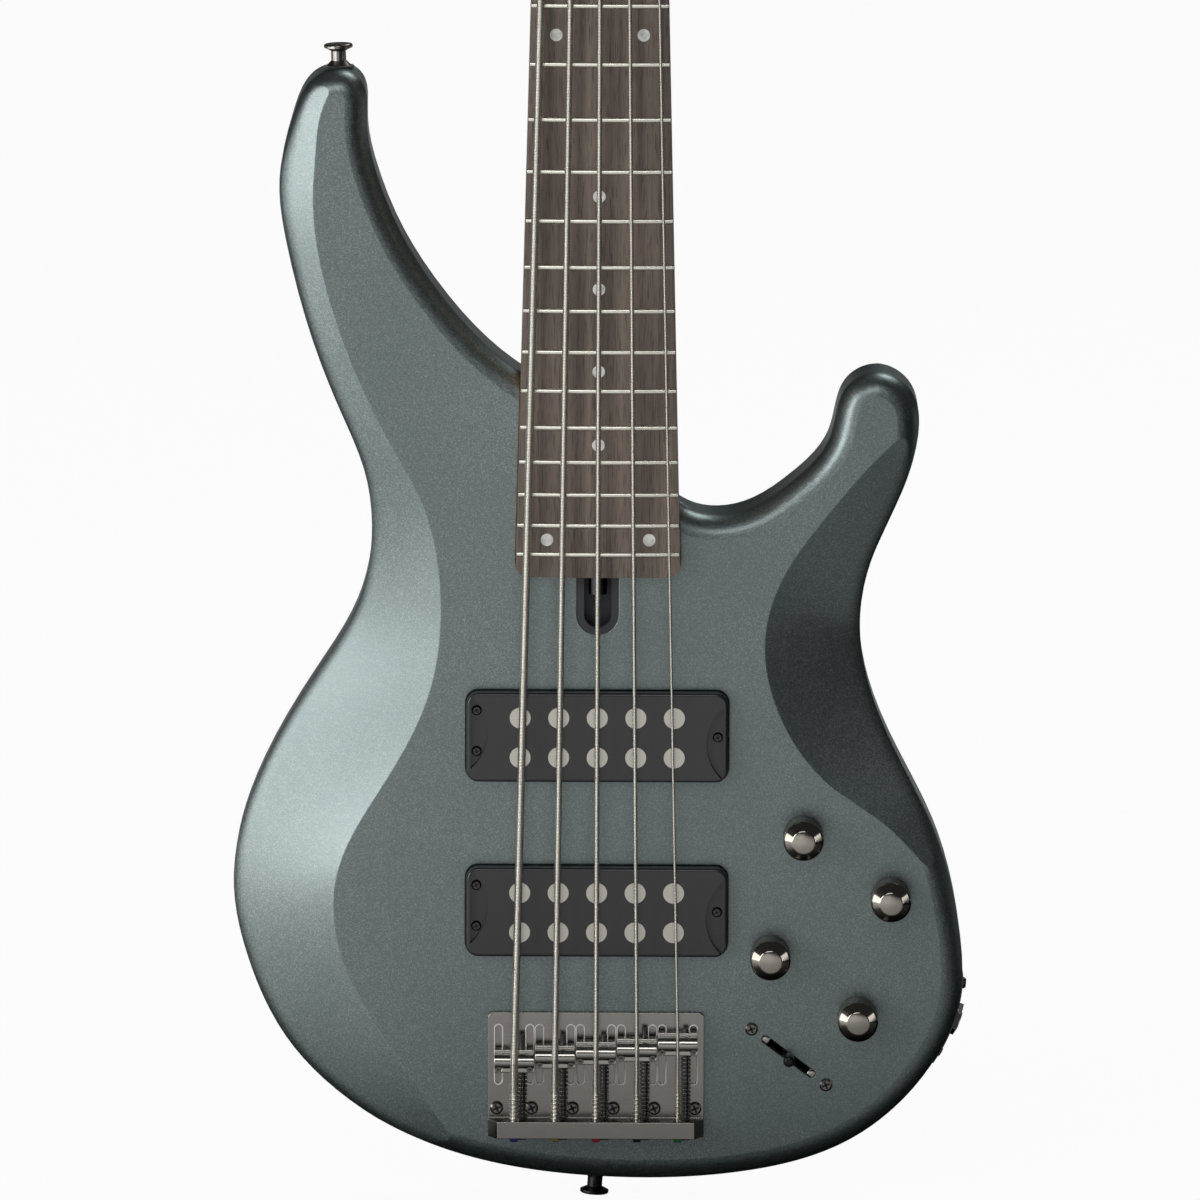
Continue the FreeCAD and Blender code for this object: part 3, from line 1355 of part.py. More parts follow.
def make_tuners():
    bushing = new_body("bushing")
    bore = S.post_diameter / 2 + S.fit_gap
    revolve(bushing, [
        (bore, -S.head_thickness, 0), (S.bushing_diameter / 2, -S.head_thickness, 0),
        (S.bushing_diameter / 2, 0, 0), (S.bushing_flange / 2, 0, 0),
        (S.bushing_flange / 2, S.bushing_rise / 2, 0),
        (S.bushing_flange / 2 - S.bushing_rise / 2, S.bushing_rise, 0), (bore, S.bushing_rise, 0),
    ])
    copies("tuner_bushings", bushing, [at(HEAD, x, y, 0) for x, y in zip(POST_X, POST_Y)])
    housings = []
    for i in range(5):
        turn = Rotation(Vector(0, 0, 1), 0 if POST_SIDES[i] > 0 else 180)
        place = at(HEAD, POST_X[i], POST_Y[i], 0)
        housings.append((place.multiply(Placement(Vector(), turn)), POST_SIDES[i]))
    make_housings(housings)
    for i, name in enumerate(STRING_NAMES):
        make_post(name, at(HEAD, POST_X[i], POST_Y[i], 0))
        make_key(name, housings[i][0])


def make_housings(places):
    """Closed gear cases behind the headstock, each with an ear for its screw and a neck for its key."""
    solids = []
    top = -S.head_thickness
    low = top - S.housing_height
    for place, side in places:
        drum = Part.makeCylinder(S.housing_diameter / 2, S.housing_height, Vector(0, 0, low))
        drum = drum.makeFillet(S.housing_round, [edge for edge in drum.Edges if on_edge(low)(edge)])
        stem = rod(S.housing_height - S.housing_round, Vector(0, 0, -KEY_DEPTH),
                   Vector(S.housing_diameter * 0.68, 0, -KEY_DEPTH))
        ear_end = -side * (S.housing_ear + S.small_screw_head)
        ear_corner = S.small_screw_head / 2
        ear = prism(outline([(-S.small_screw_head, 0, 0), (S.small_screw_head, 0, 0),
                             (S.small_screw_head * 0.8, ear_end, ear_corner),
                             (-S.small_screw_head * 0.8, ear_end, ear_corner)]), top - TUNER_EAR, top)
        tools = [
            deck_drill(0, -side * S.housing_ear, S.small_screw_shank + 2 * S.seat_gap, top + S.overrun, low),
            rod(S.key_shaft + 2 * S.fit_gap, Vector(KEY_INNER, 0, -KEY_DEPTH),
                Vector(S.key_reach, 0, -KEY_DEPTH)),
            deck_drill(0, 0, S.post_diameter + 2 * S.fit_gap, top + S.overrun, top - POST_TAIL),
        ]
        solid = drum.fuse([stem, ear]).cut(tools)
        solid.Placement = place
        solids.append(solid)
    keep("tuner_housings", feature("tuner_housings", Part.makeCompound(solids)))


POST_TAIL = S.housing_height / 3
KEY_INNER = S.housing_diameter / 4


def make_post(name, place):
    post = new_body("tuner_post_" + name)
    full = S.post_diameter / 2
    waist = S.post_waist / 2
    tail = S.seat_gap - S.head_thickness - POST_TAIL
    revolve(post, [
        (0, tail, 0), (full, tail, 0),
        (full, S.bushing_rise, 0), (waist, S.bushing_rise + (full - waist), 0),
        (waist, S.post_height - S.post_cap, 0), (full, S.post_height - S.post_cap + (full - waist), 0),
        (full, S.post_height, full / 4), (0, S.post_height, 0),
    ])
    pocket(post, rectangle(S.post_slot, 2 * S.post_diameter), "post_diameter / 2", "post_height")
    keep("tuner_post_" + name, post, place)


def make_key(name, place):
    """A shaft out of the gear case with a flat oval button."""
    key = new_body("tuner_key_" + name)
    pad(key, rectangle(S.key_length, S.key_width, S.key_corner, S.key_reach + S.key_length / 2, 0),
        "key_thickness", "-head_thickness - housing_height / 2 - key_thickness / 2")
    soften(key, "key_round", lambda edge: on_edge(S.key_thickness / 2 - KEY_DEPTH)(edge)
           or on_edge(-S.key_thickness / 2 - KEY_DEPTH)(edge))
    pad(key, ring(S.key_shaft, 0, -KEY_DEPTH), "key_reach + key_length / 2 - housing_diameter / 4 - seat_gap",
        "housing_diameter / 4 + seat_gap", "YZ_Plane")
    keep("tuner_key_" + name, key, place)


# Controls

def make_knob(name, place):
    knob = new_body(name + "_knob")
    bore = S.shaft_diameter / 2 + S.fit_gap
    room = S.knob_diameter / 2 - S.knob_wall
    revolve(knob, [
        (room, 0, 0), (S.knob_diameter / 2, 0, 0), (S.knob_diameter / 2, S.knob_skirt, S.knob_round / 2),
        (S.knob_top_diameter / 2, S.knob_height, S.knob_round), (0, S.knob_height, 0),
        (0, S.knob_height - S.knob_roof, 0), (bore, S.knob_height - S.knob_roof, 0),
        (bore, S.knob_recess, 0), (room, S.knob_recess, 0),
    ])
    keep(name + "_knob", knob, at(DECK, place.x, place.y, S.knob_lift))
    shaft = doc.addObject("Part::Cylinder", name + "_shaft")
    bind(shaft, Radius="shaft_diameter / 2",
         Height="knob_lift + knob_height - knob_roof + panel_wall + pot_height / 2")
    keep(name + "_shaft", shaft, at(DECK, place.x, place.y, -S.panel_wall - S.pot_height / 2))


def make_controls():
    for name, place in CONTROLS.items():
        make_knob(name, place)
    pot = new_body("potentiometer")
    bore = S.shaft_diameter / 2 + S.fit_gap
    thread = S.panel_thread / 2
    bush_top = S.panel_wall + S.panel_nut_height + S.seat_gap
    revolve(pot, [
        (0, -S.pot_height, 0), (S.pot_diameter / 2, -S.pot_height, 0), (S.pot_diameter / 2, 0, 0),
        (thread, 0, 0), (thread, bush_top, 0), (bore, bush_top, 0), (bore, -S.pot_height / 2 - S.seat_gap, 0),
        (0, -S.pot_height / 2 - S.seat_gap, 0),
    ])
    places = [at(DECK, place.x, place.y, -S.panel_wall) for place in CONTROLS.values()]
    copies("potentiometers", pot, places)
    nut = new_body("panel_nut")
    pad(nut, [Part.LineSegment(a, b) for a, b in hexagon_sides(S.panel_nut)], "panel_nut_height")
    pocket(nut, ring(S.panel_thread + 2 * S.fit_gap), "panel_nut_height", "panel_nut_height")
    places = [at(DECK, place.x, place.y, 0) for place in CONTROLS.values()]
    places.append(at(DECK.multiply(JACK_SIDE), 0, 0, JACK_SEAT))
    copies("panel_nuts", nut, places)
    board = new_body("preamp_board")
    corners = [CONTROLS[name] for name in ("volume", "blend", "treble", "bass")]
    pad(board, outline([(point.x, point.y, 0) for point in corners]), "board_plate", "-board_plate")
    keep("preamp_board", board, at(DECK, 0, 0, -S.panel_wall - S.pot_height))
    cover = new_body("control_cover")
    pad(cover, cavity_outline(S.control_room + S.cover_rim - S.seat_gap), "cover_thickness")
    holes = []
    for x, y in COVER_SCREWS:
        holes += ring(S.small_screw_shank + 2 * S.seat_gap, x, y)
    pocket(cover, holes, "cover_thickness", "cover_thickness")
    keep("control_cover", cover, at(DECK, 0, 0, -S.body_thickness))


def make_selector():
    """A lever switch under the deck: a bent frame with a pin, and the lever that swings on it."""
    frame = at(DECK, SELECTOR.x, SELECTOR.y, -S.panel_wall, SELECTOR_TURN)
    switch = new_body("selector_switch")
    length = S.selector_screw_gap + 2 * S.selector_overhang
    pad(switch, rectangle(length, S.selector_width), "selector_plate", "-selector_plate")
    pocket(switch, rectangle(S.selector_slot_length, 2 * S.selector_blade_width, 0), "selector_plate")
    screws = []
    for side in (-1, 1):
        screws += ring(S.selector_screw_shank + 2 * S.seat_gap, side * S.selector_screw_gap / 2, 0)
    pocket(switch, screws, "selector_plate")
    pad(switch, rectangle(S.selector_slot_length, S.selector_pivot_depth + S.selector_hub, 0, 0,
                          -(S.selector_pivot_depth + S.selector_hub) / 2),
        "selector_plate", "-selector_width / 2", "XZ_Plane")
    pad(switch, ring(S.selector_pin, 0, -S.selector_pivot_depth), "selector_width - selector_plate",
        "selector_plate - selector_width / 2", "XZ_Plane")
    keep("selector_switch", switch, frame)
    lever = new_body("selector_lever")
    blade_length = S.selector_pivot_depth + S.panel_wall + S.selector_tip_rise
    pad(lever, ring(S.selector_hub), "selector_blade_width", "-selector_blade_width / 2", "XZ_Plane")
    pad(lever, rectangle(S.selector_blade, blade_length, 0, 0, blade_length / 2),
        "selector_blade_width * 0.6", "-selector_blade_width * 0.3", "XZ_Plane")
    pad(lever, ring(S.selector_tip_diameter), "selector_tip_length",
        "selector_pivot_depth + panel_wall + selector_tip_rise - selector_tip_length")
    soften(lever, "selector_tip_diameter * 0.3", on_edge(blade_length))
    pocket(lever, ring(S.selector_pin + 2 * S.fit_gap), "selector_blade_width + overrun",
           "selector_blade_width", "XZ_Plane")
    pivot = Placement(Vector(0, 0, -S.selector_pivot_depth), Rotation())
    keep("selector_lever", lever, frame.multiply(pivot))
    screw = make_screw("selector_screw", S.selector_screw_head, S.selector_screw_rise, S.selector_screw_shank,
                       S.panel_wall + S.selector_plate + S.overrun)
    copies("selector_screws", screw, [at(DECK, end.x, end.y, 0) for end in SELECTOR_ENDS])


# Output jack, strap buttons and battery box

def side_point(along, out):
    """A point that stands out from the body's outline, along which its parameter counts."""
    tangent = Vector(*BODY_CURVE.tangent(along)[0]).normalize()
    return BODY_CURVE.value(along) + tangent.cross(Vector(0, 0, 1)) * out


def jack_strip(low, high, room):
    """A strip bent to the body's side, between two distances from it, with some room all round."""
    reach = S.jack_plate_length / 2 + room
    ends = [JACK_SIDE.multVec(Vector(side * reach, 0, 0)) for side in (-1, 1)]
    first, last = sorted(BODY_CURVE.parameter(Vector(end.x, end.y, 0)) for end in ends)
    inner = [side_point(first + (last - first) * share, low) for share in (0, 0.5, 1)]
    outer = [side_point(first + (last - first) * share, high) for share in (0, 0.5, 1)]
    strip = wire_of([Part.Arc(*inner), Part.LineSegment(inner[-1], outer[-1]), Part.Arc(*reversed(outer)),
                     Part.LineSegment(outer[0], inner[0])])
    width = S.jack_plate_width + 2 * room
    solid = Part.Face(strip).extrude(Vector(0, 0, width))
    solid.translate(Vector(0, 0, SIDE_HEIGHT - width / 2))
    return solid


def make_jack():
    """The plate is bent to the body's side and let into it; the jack's barrel passes through it."""
    plate = jack_strip(-S.jack_plate_sunk, JACK_FACE, 0)
    out = JACK_FACE
    below = S.jack_plate_sunk + S.overrun
    tools = [side_drill(JACK_SIDE, S.panel_thread + 2 * S.fit_gap, below, out)]
    tools += [side_drill(place, S.small_screw_shank + 2 * S.seat_gap, below, out)
              for place in JACK_SCREW_SIDES]
    for tool in tools:
        plate = plate.cut(tool)
    keep("jack_plate", feature("jack_plate", plate), DECK)
    jack = new_body("output_jack")
    bore = S.jack_bore / 2
    top = JACK_FACE + S.jack_thread_out
    shoulder = -S.jack_plate_sunk - S.jack_shoulder
    revolve(jack, [
        (bore, top, 0), (bore, -S.jack_depth, 0), (S.jack_sleeve / 2, -S.jack_depth, 0),
        (S.jack_sleeve / 2, shoulder, 0), (S.panel_thread / 2, shoulder, 0),
        (S.panel_thread / 2, top, 0),
    ])
    keep("output_jack", jack, DECK.multiply(JACK_SIDE))


def make_strap_buttons():
    button = new_body("strap_button")
    bore = S.strap_screw_shank / 2 + S.seat_gap
    cone = (S.strap_screw_head - S.strap_screw_shank) / 2
    flange_low = S.strap_height - S.strap_flange_height
    revolve(button, [
        (bore, 0, 0), (S.strap_base / 2, 0, 0), (S.strap_waist / 2, S.strap_base_height, 0),
        (S.strap_waist / 2, flange_low - (S.strap_flange - S.strap_waist) / 4, 0),
        (S.strap_flange / 2, flange_low, 0), (S.strap_flange / 2, S.strap_height, S.strap_flange_height / 2),
        (S.strap_screw_head / 2 + S.seat_gap, S.strap_height, 0), (bore, S.strap_height - cone, 0),
    ])
    places = [DECK.multiply(place) for place in (HORN_SIDE, TAIL_SIDE)]
    base = S.felt_thickness - S.felt_seat
    copies("strap_buttons", button, [at(place, 0, 0, base) for place in places])
    felt = new_body("strap_felt")
    pad(felt, ring(S.felt_diameter), "felt_thickness", "-felt_seat")
    pocket(felt, ring(S.strap_screw_shank + 2 * S.seat_gap), "felt_thickness", "felt_thickness - felt_seat")
    copies("strap_felts", felt, places)
    screw = make_screw("strap_screw", S.strap_screw_head, cone, S.strap_screw_shank,
                       S.strap_height + base + S.strap_screw_bite, countersunk=True)
    copies("strap_screws", screw, [at(place, 0, 0, base + S.strap_height) for place in places])


def make_battery_box():
    """A flanged tray let into the back, a hinged door flush with it, and a nine-volt block inside."""
    back = at(DECK, S.battery_side, S.battery_up, -S.body_thickness)
    tray = new_body("battery_box")
    pad(tray, rectangle(BOX_WIDTH, BOX_LENGTH, S.box_corner),
        "battery_depth + box_wall + door_thickness + loose_gap + loose_gap")
    pad(tray, rectangle(BOX_WIDTH + 2 * S.box_rim, BOX_LENGTH + 2 * S.box_rim, S.box_corner + S.box_rim),
        "door_thickness + loose_gap + box_wall")
    pocket(tray, rectangle(BOX_WIDTH - 2 * S.box_wall, BOX_LENGTH - 2 * S.box_wall),
           "battery_depth + door_thickness + loose_gap + loose_gap", up=True)
    pocket(tray, rectangle(DOOR_WIDTH + 2 * S.loose_gap, DOOR_LENGTH + 2 * S.loose_gap),
           "door_thickness + loose_gap", up=True)
    pocket(tray, ring(S.door_pin + 2 * S.fit_gap, DOOR_HINGE_Y, S.door_thickness / 2),
           "battery_width + 2 * (box_wall + loose_gap + door_pin_length + seat_gap)",
           "battery_width / 2 + box_wall + loose_gap + door_pin_length + seat_gap", "YZ_Plane")
    keep("battery_box", tray, back)
    door = new_body("battery_door")
    thickness = S.door_thickness / 2
    pad(door, outline([(-DOOR_LENGTH / 2, 0, 0), (DOOR_HINGE_Y, 0, 0), (DOOR_HINGE_Y, S.door_thickness, 0),
                       (-DOOR_LENGTH / 2, S.door_thickness, 0)]),
        "battery_width + loose_gap * 2 + box_wall * 2",
        "-battery_width / 2 - loose_gap - box_wall", "YZ_Plane")
    pad(door, ring(S.door_thickness, DOOR_HINGE_Y, thickness),
        "battery_width + loose_gap * 2 + box_wall * 2",
        "-battery_width / 2 - loose_gap - box_wall", "YZ_Plane")
    pad(door, ring(S.door_pin, DOOR_HINGE_Y, thickness),
        "battery_width + loose_gap * 2 + box_wall * 2 + door_pin_length * 2",
        "-battery_width / 2 - loose_gap - box_wall - door_pin_length", "YZ_Plane")
    pocket(door, ring(2 * S.door_notch, 0, -DOOR_LENGTH / 2), "door_thickness / 2", up=True)
    keep("battery_door", door, back)
    battery = new_body("battery")
    inner = "door_thickness + loose_gap"
    pad(battery, rectangle(S.battery_width, S.battery_length, S.box_corner), "battery_depth", inner)
    pad(battery, ring(S.battery_cap_diameter, 0, S.battery_depth / 2 + S.door_thickness), "0.5 * battery_cap",
        "-battery_length / 2", "XZ_Plane", down=False)
    keep("battery", battery, back)


DOOR_WIDTH = BOX_WIDTH
DOOR_LENGTH = BOX_LENGTH
DOOR_HINGE_Y = DOOR_LENGTH / 2 - S.door_thickness / 2


make_body()
make_neck()
make_fingerboard()
make_frets()
make_dots()
make_nut()
make_truss_rod()
make_truss_access()
make_neck_screws()
make_small_screws()
make_pickups()
make_bridge_plate()
make_saddles()
make_length_screws()
make_springs()
make_ball_ends()
make_strings()
make_tuners()
make_controls()
make_selector()
make_jack()
make_strap_buttons()
make_battery_box()
doc.recompute()

# Every object has to be sound before anything is written
for item in doc.Objects:
    if "Invalid" in item.State or "Error" in item.State:
        raise RuntimeError("%s failed: %s" % (item.Name, item.State))
os.makedirs("parts", exist_ok=True)
for node in NODES:
    if node.Shape.isNull() or not node.Shape.isValid():
        raise RuntimeError("%s has no valid shape" % node.Label)
for node in NODES:
    node.Shape.exportStep("parts/%s.step" % node.Label)
print("%d nodes written" % len(NODES))
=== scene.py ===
# %% [markdown]
# # A five-string bass guitar
# The solids of the instrument come from CAD as a fixed frame: every wooden, metal and plastic piece is
# already in place, in metres. Blender's part of the work is how the instrument looks: paint, wood and
# plated metal, and the fine forms that a workshop drawing leaves out, such as the knurl of a knob.
# We could model everything again here, but then sizes would drift apart, so the frame stays as it is.

# %% Load the frame
import json
import math
import bmesh
import bpy
from mathutils import Matrix, Quaternion, Vector


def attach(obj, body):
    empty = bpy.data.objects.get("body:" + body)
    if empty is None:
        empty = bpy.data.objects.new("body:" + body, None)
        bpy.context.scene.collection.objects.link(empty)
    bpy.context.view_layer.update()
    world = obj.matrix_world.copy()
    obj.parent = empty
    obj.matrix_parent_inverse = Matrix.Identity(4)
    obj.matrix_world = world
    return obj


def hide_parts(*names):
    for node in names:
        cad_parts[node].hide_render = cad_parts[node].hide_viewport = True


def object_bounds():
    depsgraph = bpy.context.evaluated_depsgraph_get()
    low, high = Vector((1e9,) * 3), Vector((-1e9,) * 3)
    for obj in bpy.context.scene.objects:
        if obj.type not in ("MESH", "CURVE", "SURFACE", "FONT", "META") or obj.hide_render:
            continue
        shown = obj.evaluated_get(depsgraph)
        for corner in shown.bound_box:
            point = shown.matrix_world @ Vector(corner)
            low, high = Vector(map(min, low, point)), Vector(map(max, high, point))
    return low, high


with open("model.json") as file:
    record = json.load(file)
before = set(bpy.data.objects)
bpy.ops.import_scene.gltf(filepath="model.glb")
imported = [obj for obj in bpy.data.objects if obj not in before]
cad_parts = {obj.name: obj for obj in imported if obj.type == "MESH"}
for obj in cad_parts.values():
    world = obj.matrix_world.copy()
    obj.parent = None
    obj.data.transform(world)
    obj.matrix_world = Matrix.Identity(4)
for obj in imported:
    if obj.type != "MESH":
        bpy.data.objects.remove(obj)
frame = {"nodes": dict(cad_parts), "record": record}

MM = 0.001
OUT_OF_THE_FACE = Vector((0, -1, 0))
OUT_OF_THE_BACK = Vector((0, 1, 0))
cad_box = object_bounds()
print(len(frame["nodes"]), "CAD nodes, box", [tuple(round(c, 4) for c in corner) for corner in cad_box])

# %% [markdown]
# ## Helpers for meshes
# Some CAD nodes hold several solids, such as five springs or six screws. New forms have to sit exactly
# where those solids are, so one helper splits a node into its solids and gives their points, and a second
# finds the corners of such a list. The third turns a finished bmesh into an object. It leaves the object at
# the origin, with its place in its mesh, and lets it ride on a body, so that it turns with a knob or stays
# with the instrument.

# %% Helpers for meshes
MERGE_WITHIN = 0.001 * MM


def solids(node):
    """The separate solids of a CAD node, each as a list of its points, from left to right."""
    mesh = bmesh.new()
    mesh.from_mesh(frame["nodes"][node].data)
    bmesh.ops.remove_doubles(mesh, verts=mesh.verts, dist=MERGE_WITHIN)
    seen = set()
    found = []
    for first in mesh.verts:
        if first in seen:
            continue
        seen.add(first)
        edge_of_group = [first]
        points = []
        while edge_of_group:
            vertex = edge_of_group.pop()
            points.append(vertex.co.copy())
            for edge in vertex.link_edges:
                other = edge.other_vert(vertex)
                if other not in seen:
                    seen.add(other)
                    edge_of_group.append(other)
        found.append(points)
    mesh.free()
    return sorted(found, key=lambda points: sum(point.x for point in points) / len(points))


def corners(points):
    """The lowest and highest corner of a list of points."""
    low = Vector([min(point[axis] for point in points) for axis in range(3)])
    high = Vector([max(point[axis] for point in points) for axis in range(3)])
    return low, high


def piece(name, mesh, finish, body, crease=35):
    """Turn a bmesh into an object at the origin that rides on a body; edges over the crease stay sharp."""
    bmesh.ops.recalc_face_normals(mesh, faces=mesh.faces)
    data = bpy.data.meshes.new(name)
    mesh.to_mesh(data)
    mesh.free()
    data.shade_smooth()
    data.set_sharp_from_angle(angle=math.radians(crease))
    data.materials.append(finish)
    thing = bpy.data.objects.new(name, data)
    bpy.context.scene.collection.objects.link(thing)
    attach(thing, body)
    print(name, "has", len(data.polygons), "faces and rides on", body)
    return thing


print("The springs node holds", len(solids("intonation_springs")), "solids")

# %% [markdown]
# ## Writing materials as sums
# A material is a web of nodes. Drawn by hand it is easy to read, but in a script each link takes a line.
# So one small class wraps a socket and lets Python's signs add the Math nodes: grain * 0.5 + 0.2 makes
# two of them, and a | b takes the larger. Sums, products and maxima read the same from both sides, so their
# reflected forms are the same methods. A second class holds one material, its shader and one method that
# adds any other node.
# All patterns read Object coordinates, which are metres here, so a scale of 1000 is about a millimetre.

# %% Classes for materials
class Shade:
    """One output socket of a material, which can be added to, multiplied and compared in Python."""

    def __init__(self, finish, socket):
        self.finish = finish
        self.socket = socket

    def sum(self, operation, first, second):
        return self.finish.add("ShaderNodeMath", {"operation": operation}, {0: first, 1: second})

    def __add__(self, other):
        return self.sum("ADD", self, other)

    def __sub__(self, other):
        return self.sum("SUBTRACT", self, other)

    def __rsub__(self, other):
        return self.sum("SUBTRACT", other, self)

    def __mul__(self, other):
        return self.sum("MULTIPLY", self, other)

    def __or__(self, other):
        return self.sum("MAXIMUM", self, other)

    def __gt__(self, other):
        return self.sum("GREATER_THAN", self, other)

    __radd__ = __add__
    __rmul__ = __mul__
    __ror__ = __or__


class Finish:
    """A procedural material: a Principled shader and the nodes that feed it."""

    def __init__(self, name, **constants):
        self.material = bpy.data.materials.new(name)
        self.material.use_nodes = True
        self.tree = self.material.node_tree
        self.shader = self.tree.nodes["Principled BSDF"]
        for word, value in constants.items():
            self.shader.inputs[word.replace("_", " ")].default_value = value
        self.place = self.add("ShaderNodeTexCoord", out="Object")

    def add(self, kind, settings=None, inputs=None, out=0):
        """Add a node: its settings first, then the values or links of its sockets; gives one output."""
        node = self.tree.nodes.new(kind)
        for word, value in (settings or {}).items():
            if word == "stops":
                stops = node.color_ramp.elements
                while len(stops) < len(value):
                    stops.new(1.0)
                for stop, (position, colour) in zip(stops, value):
                    stop.position = position
                    stop.color = (*colour, 1)
            elif word == "interpolation" and kind == "ShaderNodeValToRGB":
                node.color_ramp.interpolation = value
            else:
                setattr(node, word, value)
        for socket, value in (inputs or {}).items():
            if isinstance(value, Shade):
                self.tree.links.new(value.socket, node.inputs[socket])
            else:
                node.inputs[socket].default_value = value
        return Shade(self, node.outputs[out])

    def feed(self, **links):
        """Link sums to the shader's own sockets."""
        for word, value in links.items():
            self.tree.links.new(value.socket, self.shader.inputs[word.replace("_", " ")])

    def stretch(self, scale):
        """Object coordinates, scaled along each axis so that a pattern becomes long or short."""
        return self.add("ShaderNodeMapping", {}, {"Vector": self.place, "Scale": scale})

    def noise(self, vector, scale=1.0, detail=3.0, roughness=0.5):
        return self.add("ShaderNodeTexNoise", {}, {"Vector": vector, "Scale": scale, "Detail": detail,
                                                   "Roughness": roughness})

    def ramp(self, value, *stops):
        """A colour or grey level for each value, through stops of (position, colour)."""
        return self.add("ShaderNodeValToRGB", {"stops": stops}, {"Fac": value}, out="Color")

    def blend(self, share, first, second):
        """Mix two colours by a share."""
        return self.add("ShaderNodeMix", {"data_type": "RGBA"}, {"Factor": share, 6: first, 7: second}, out=2)

    def dent(self, height, depth, round_edges=0.0):
        """A bump whose height from 0 to 1 stands for a depth in metres; edges can look rounded as well."""
        inputs = {"Height": height, "Distance": depth, "Strength": 1.0}
        if round_edges:
            inputs["Normal"] = self.add("ShaderNodeBevel", {"samples": 8}, {"Radius": round_edges})
        self.feed(Normal=self.add("ShaderNodeBump", {}, inputs))


class Surround(Finish):
    """The world's own nodes, fed in the same way."""

    def __init__(self, world):
        world.use_nodes = True
        self.tree = world.node_tree
        self.shader = self.tree.nodes["Background"]
        self.shader.inputs["Color"].default_value = (1, 1, 1, 1)


def grey(level):
    return (level, level, level)


print("Classes for materials are ready")

# %% [markdown]
# ## Body paint
# The body is sprayed with a grey-green metallic lacquer: tiny flakes of metal float in a tinted coat under
# clear lacquer. Each flake lies at its own small angle and catches the light alone, so the paint glitters
# up close and is smooth from afar. Voronoi cells of a third of a millimetre, each with a random grey,
# stand for the flakes, and a thin clear coat gives the sharper highlight. A dark specular tint keeps the
# paint from turning white where it is seen at a slant. The edge where a carved side meets the rim is sharp
# in CAD and rolled on the real body: a Bevel node rounds it in the shading, little at the crest beside the
# deck, which stays crisp, and more where the carve lies deeper.

# %% Body paint
DECK_DEPTH = 4 * MM
CREST_DEPTH = 0.8 * MM
RIM_FADE = 2.5 * MM
RIM_END = 28 * MM
CREST_ROUND = 0.8 * MM
RIM_ROUND = 8.2 * MM
FLAKES_IN_A_METRE = 3000.0
FLAKE_DEPTH = 0.004 * MM


def rim(paint):
    """1 where a carved side lies deeper than the crest, and 0 on the deck, its crests and the back."""
    depth = paint.add("ShaderNodeSeparateXYZ", {}, {"Vector": paint.place}, out="Y")
    carved = paint.add("ShaderNodeMath", {"operation": "MULTIPLY", "use_clamp": True},
                       {0: depth - (DECK_DEPTH + CREST_DEPTH), 1: 1 / RIM_FADE})
    return carved * (1 - (depth > DECK_DEPTH + RIM_END))


def flake_paint():
    paint = Finish("grey_green_flake_paint", Coat_Weight=0.10, Coat_Roughness=0.16, Metallic=0.95,
                   Specular_Tint=(0.16, 0.17, 0.17, 1))
    cell = paint.add("ShaderNodeTexVoronoi", {}, {"Vector": paint.place, "Scale": FLAKES_IN_A_METRE},
                     out="Color")
    flake = paint.add("ShaderNodeSeparateColor", {}, {"Color": cell}, out="Red")
    cloud = paint.noise(paint.place, 14.0)
    glitter = flake * 0.7 + cloud * 0.3
    colour = paint.ramp(glitter, (0.1, (0.150, 0.186, 0.185)), (0.6, (0.200, 0.243, 0.242)),
                        (0.95, (0.385, 0.420, 0.410)))
    paint.feed(Base_Color=colour, Roughness=0.34 + 0.12 * flake)
    paint.dent(flake, FLAKE_DEPTH, round_edges=CREST_ROUND + RIM_ROUND * rim(paint))
    return paint.material


body_paint = flake_paint()
print("Made", body_paint.name)

# %% [markdown]
# ## Wood of the neck and the fingerboard
# The neck is pale maple under a satin lacquer, and the fingerboard is dark oiled rosewood whose open pores
# show as short dark dashes. Wood grain is a noise that is stretched along the tree: we press the scale
# along Z and leave it large across. Two noises of different width, one for the broad growth bands and one
# for the pores, look more like timber than one alone.

# %% Wood
def maple():
    wood = Finish("satin_maple", Coat_Weight=0.25, Coat_Roughness=0.3)
    bands = wood.noise(wood.stretch((60, 60, 2.2)), 1.0, 4.0, 0.55)
    fibre = wood.noise(wood.stretch((1500, 1500, 30)), 1.0, 2.0)
    colour = wood.ramp(bands * 0.75 + fibre * 0.25, (0.30, (0.36, 0.215, 0.105)),
                       (0.52, (0.50, 0.325, 0.170)), (0.72, (0.59, 0.405, 0.235)))
    wood.feed(Base_Color=colour, Roughness=0.34 + 0.16 * fibre)
    wood.dent(fibre, 0.008 * MM)
    return wood.material


def rosewood():
    wood = Finish("oiled_rosewood", Coat_Weight=0.08, Coat_Roughness=0.35)
    bands = wood.noise(wood.stretch((210, 210, 3.5)), 1.0, 5.0, 0.6)
    broad = wood.noise(wood.stretch((45, 45, 9)), 1.0, 2.0)
    pores = wood.noise(wood.stretch((2600, 2600, 95)), 1.0, 1.0)
    pore = (pores > 0.60) * 0.55
    colour = wood.ramp(bands * 0.6 + broad * 0.4, (0.34, (0.060, 0.044, 0.035)), (0.5, (0.140, 0.107, 0.086)),
                       (0.66, (0.225, 0.175, 0.140)))
    dark = wood.blend(pore, colour, (0.018, 0.012, 0.010, 1))
    wood.feed(Base_Color=dark, Roughness=0.46 + 0.20 * bands)
    wood.dent(1 - pore, 0.03 * MM)
    return wood.material


neck_maple = maple()
board_rosewood = rosewood()
print("Made", neck_maple.name, "and", board_rosewood.name)

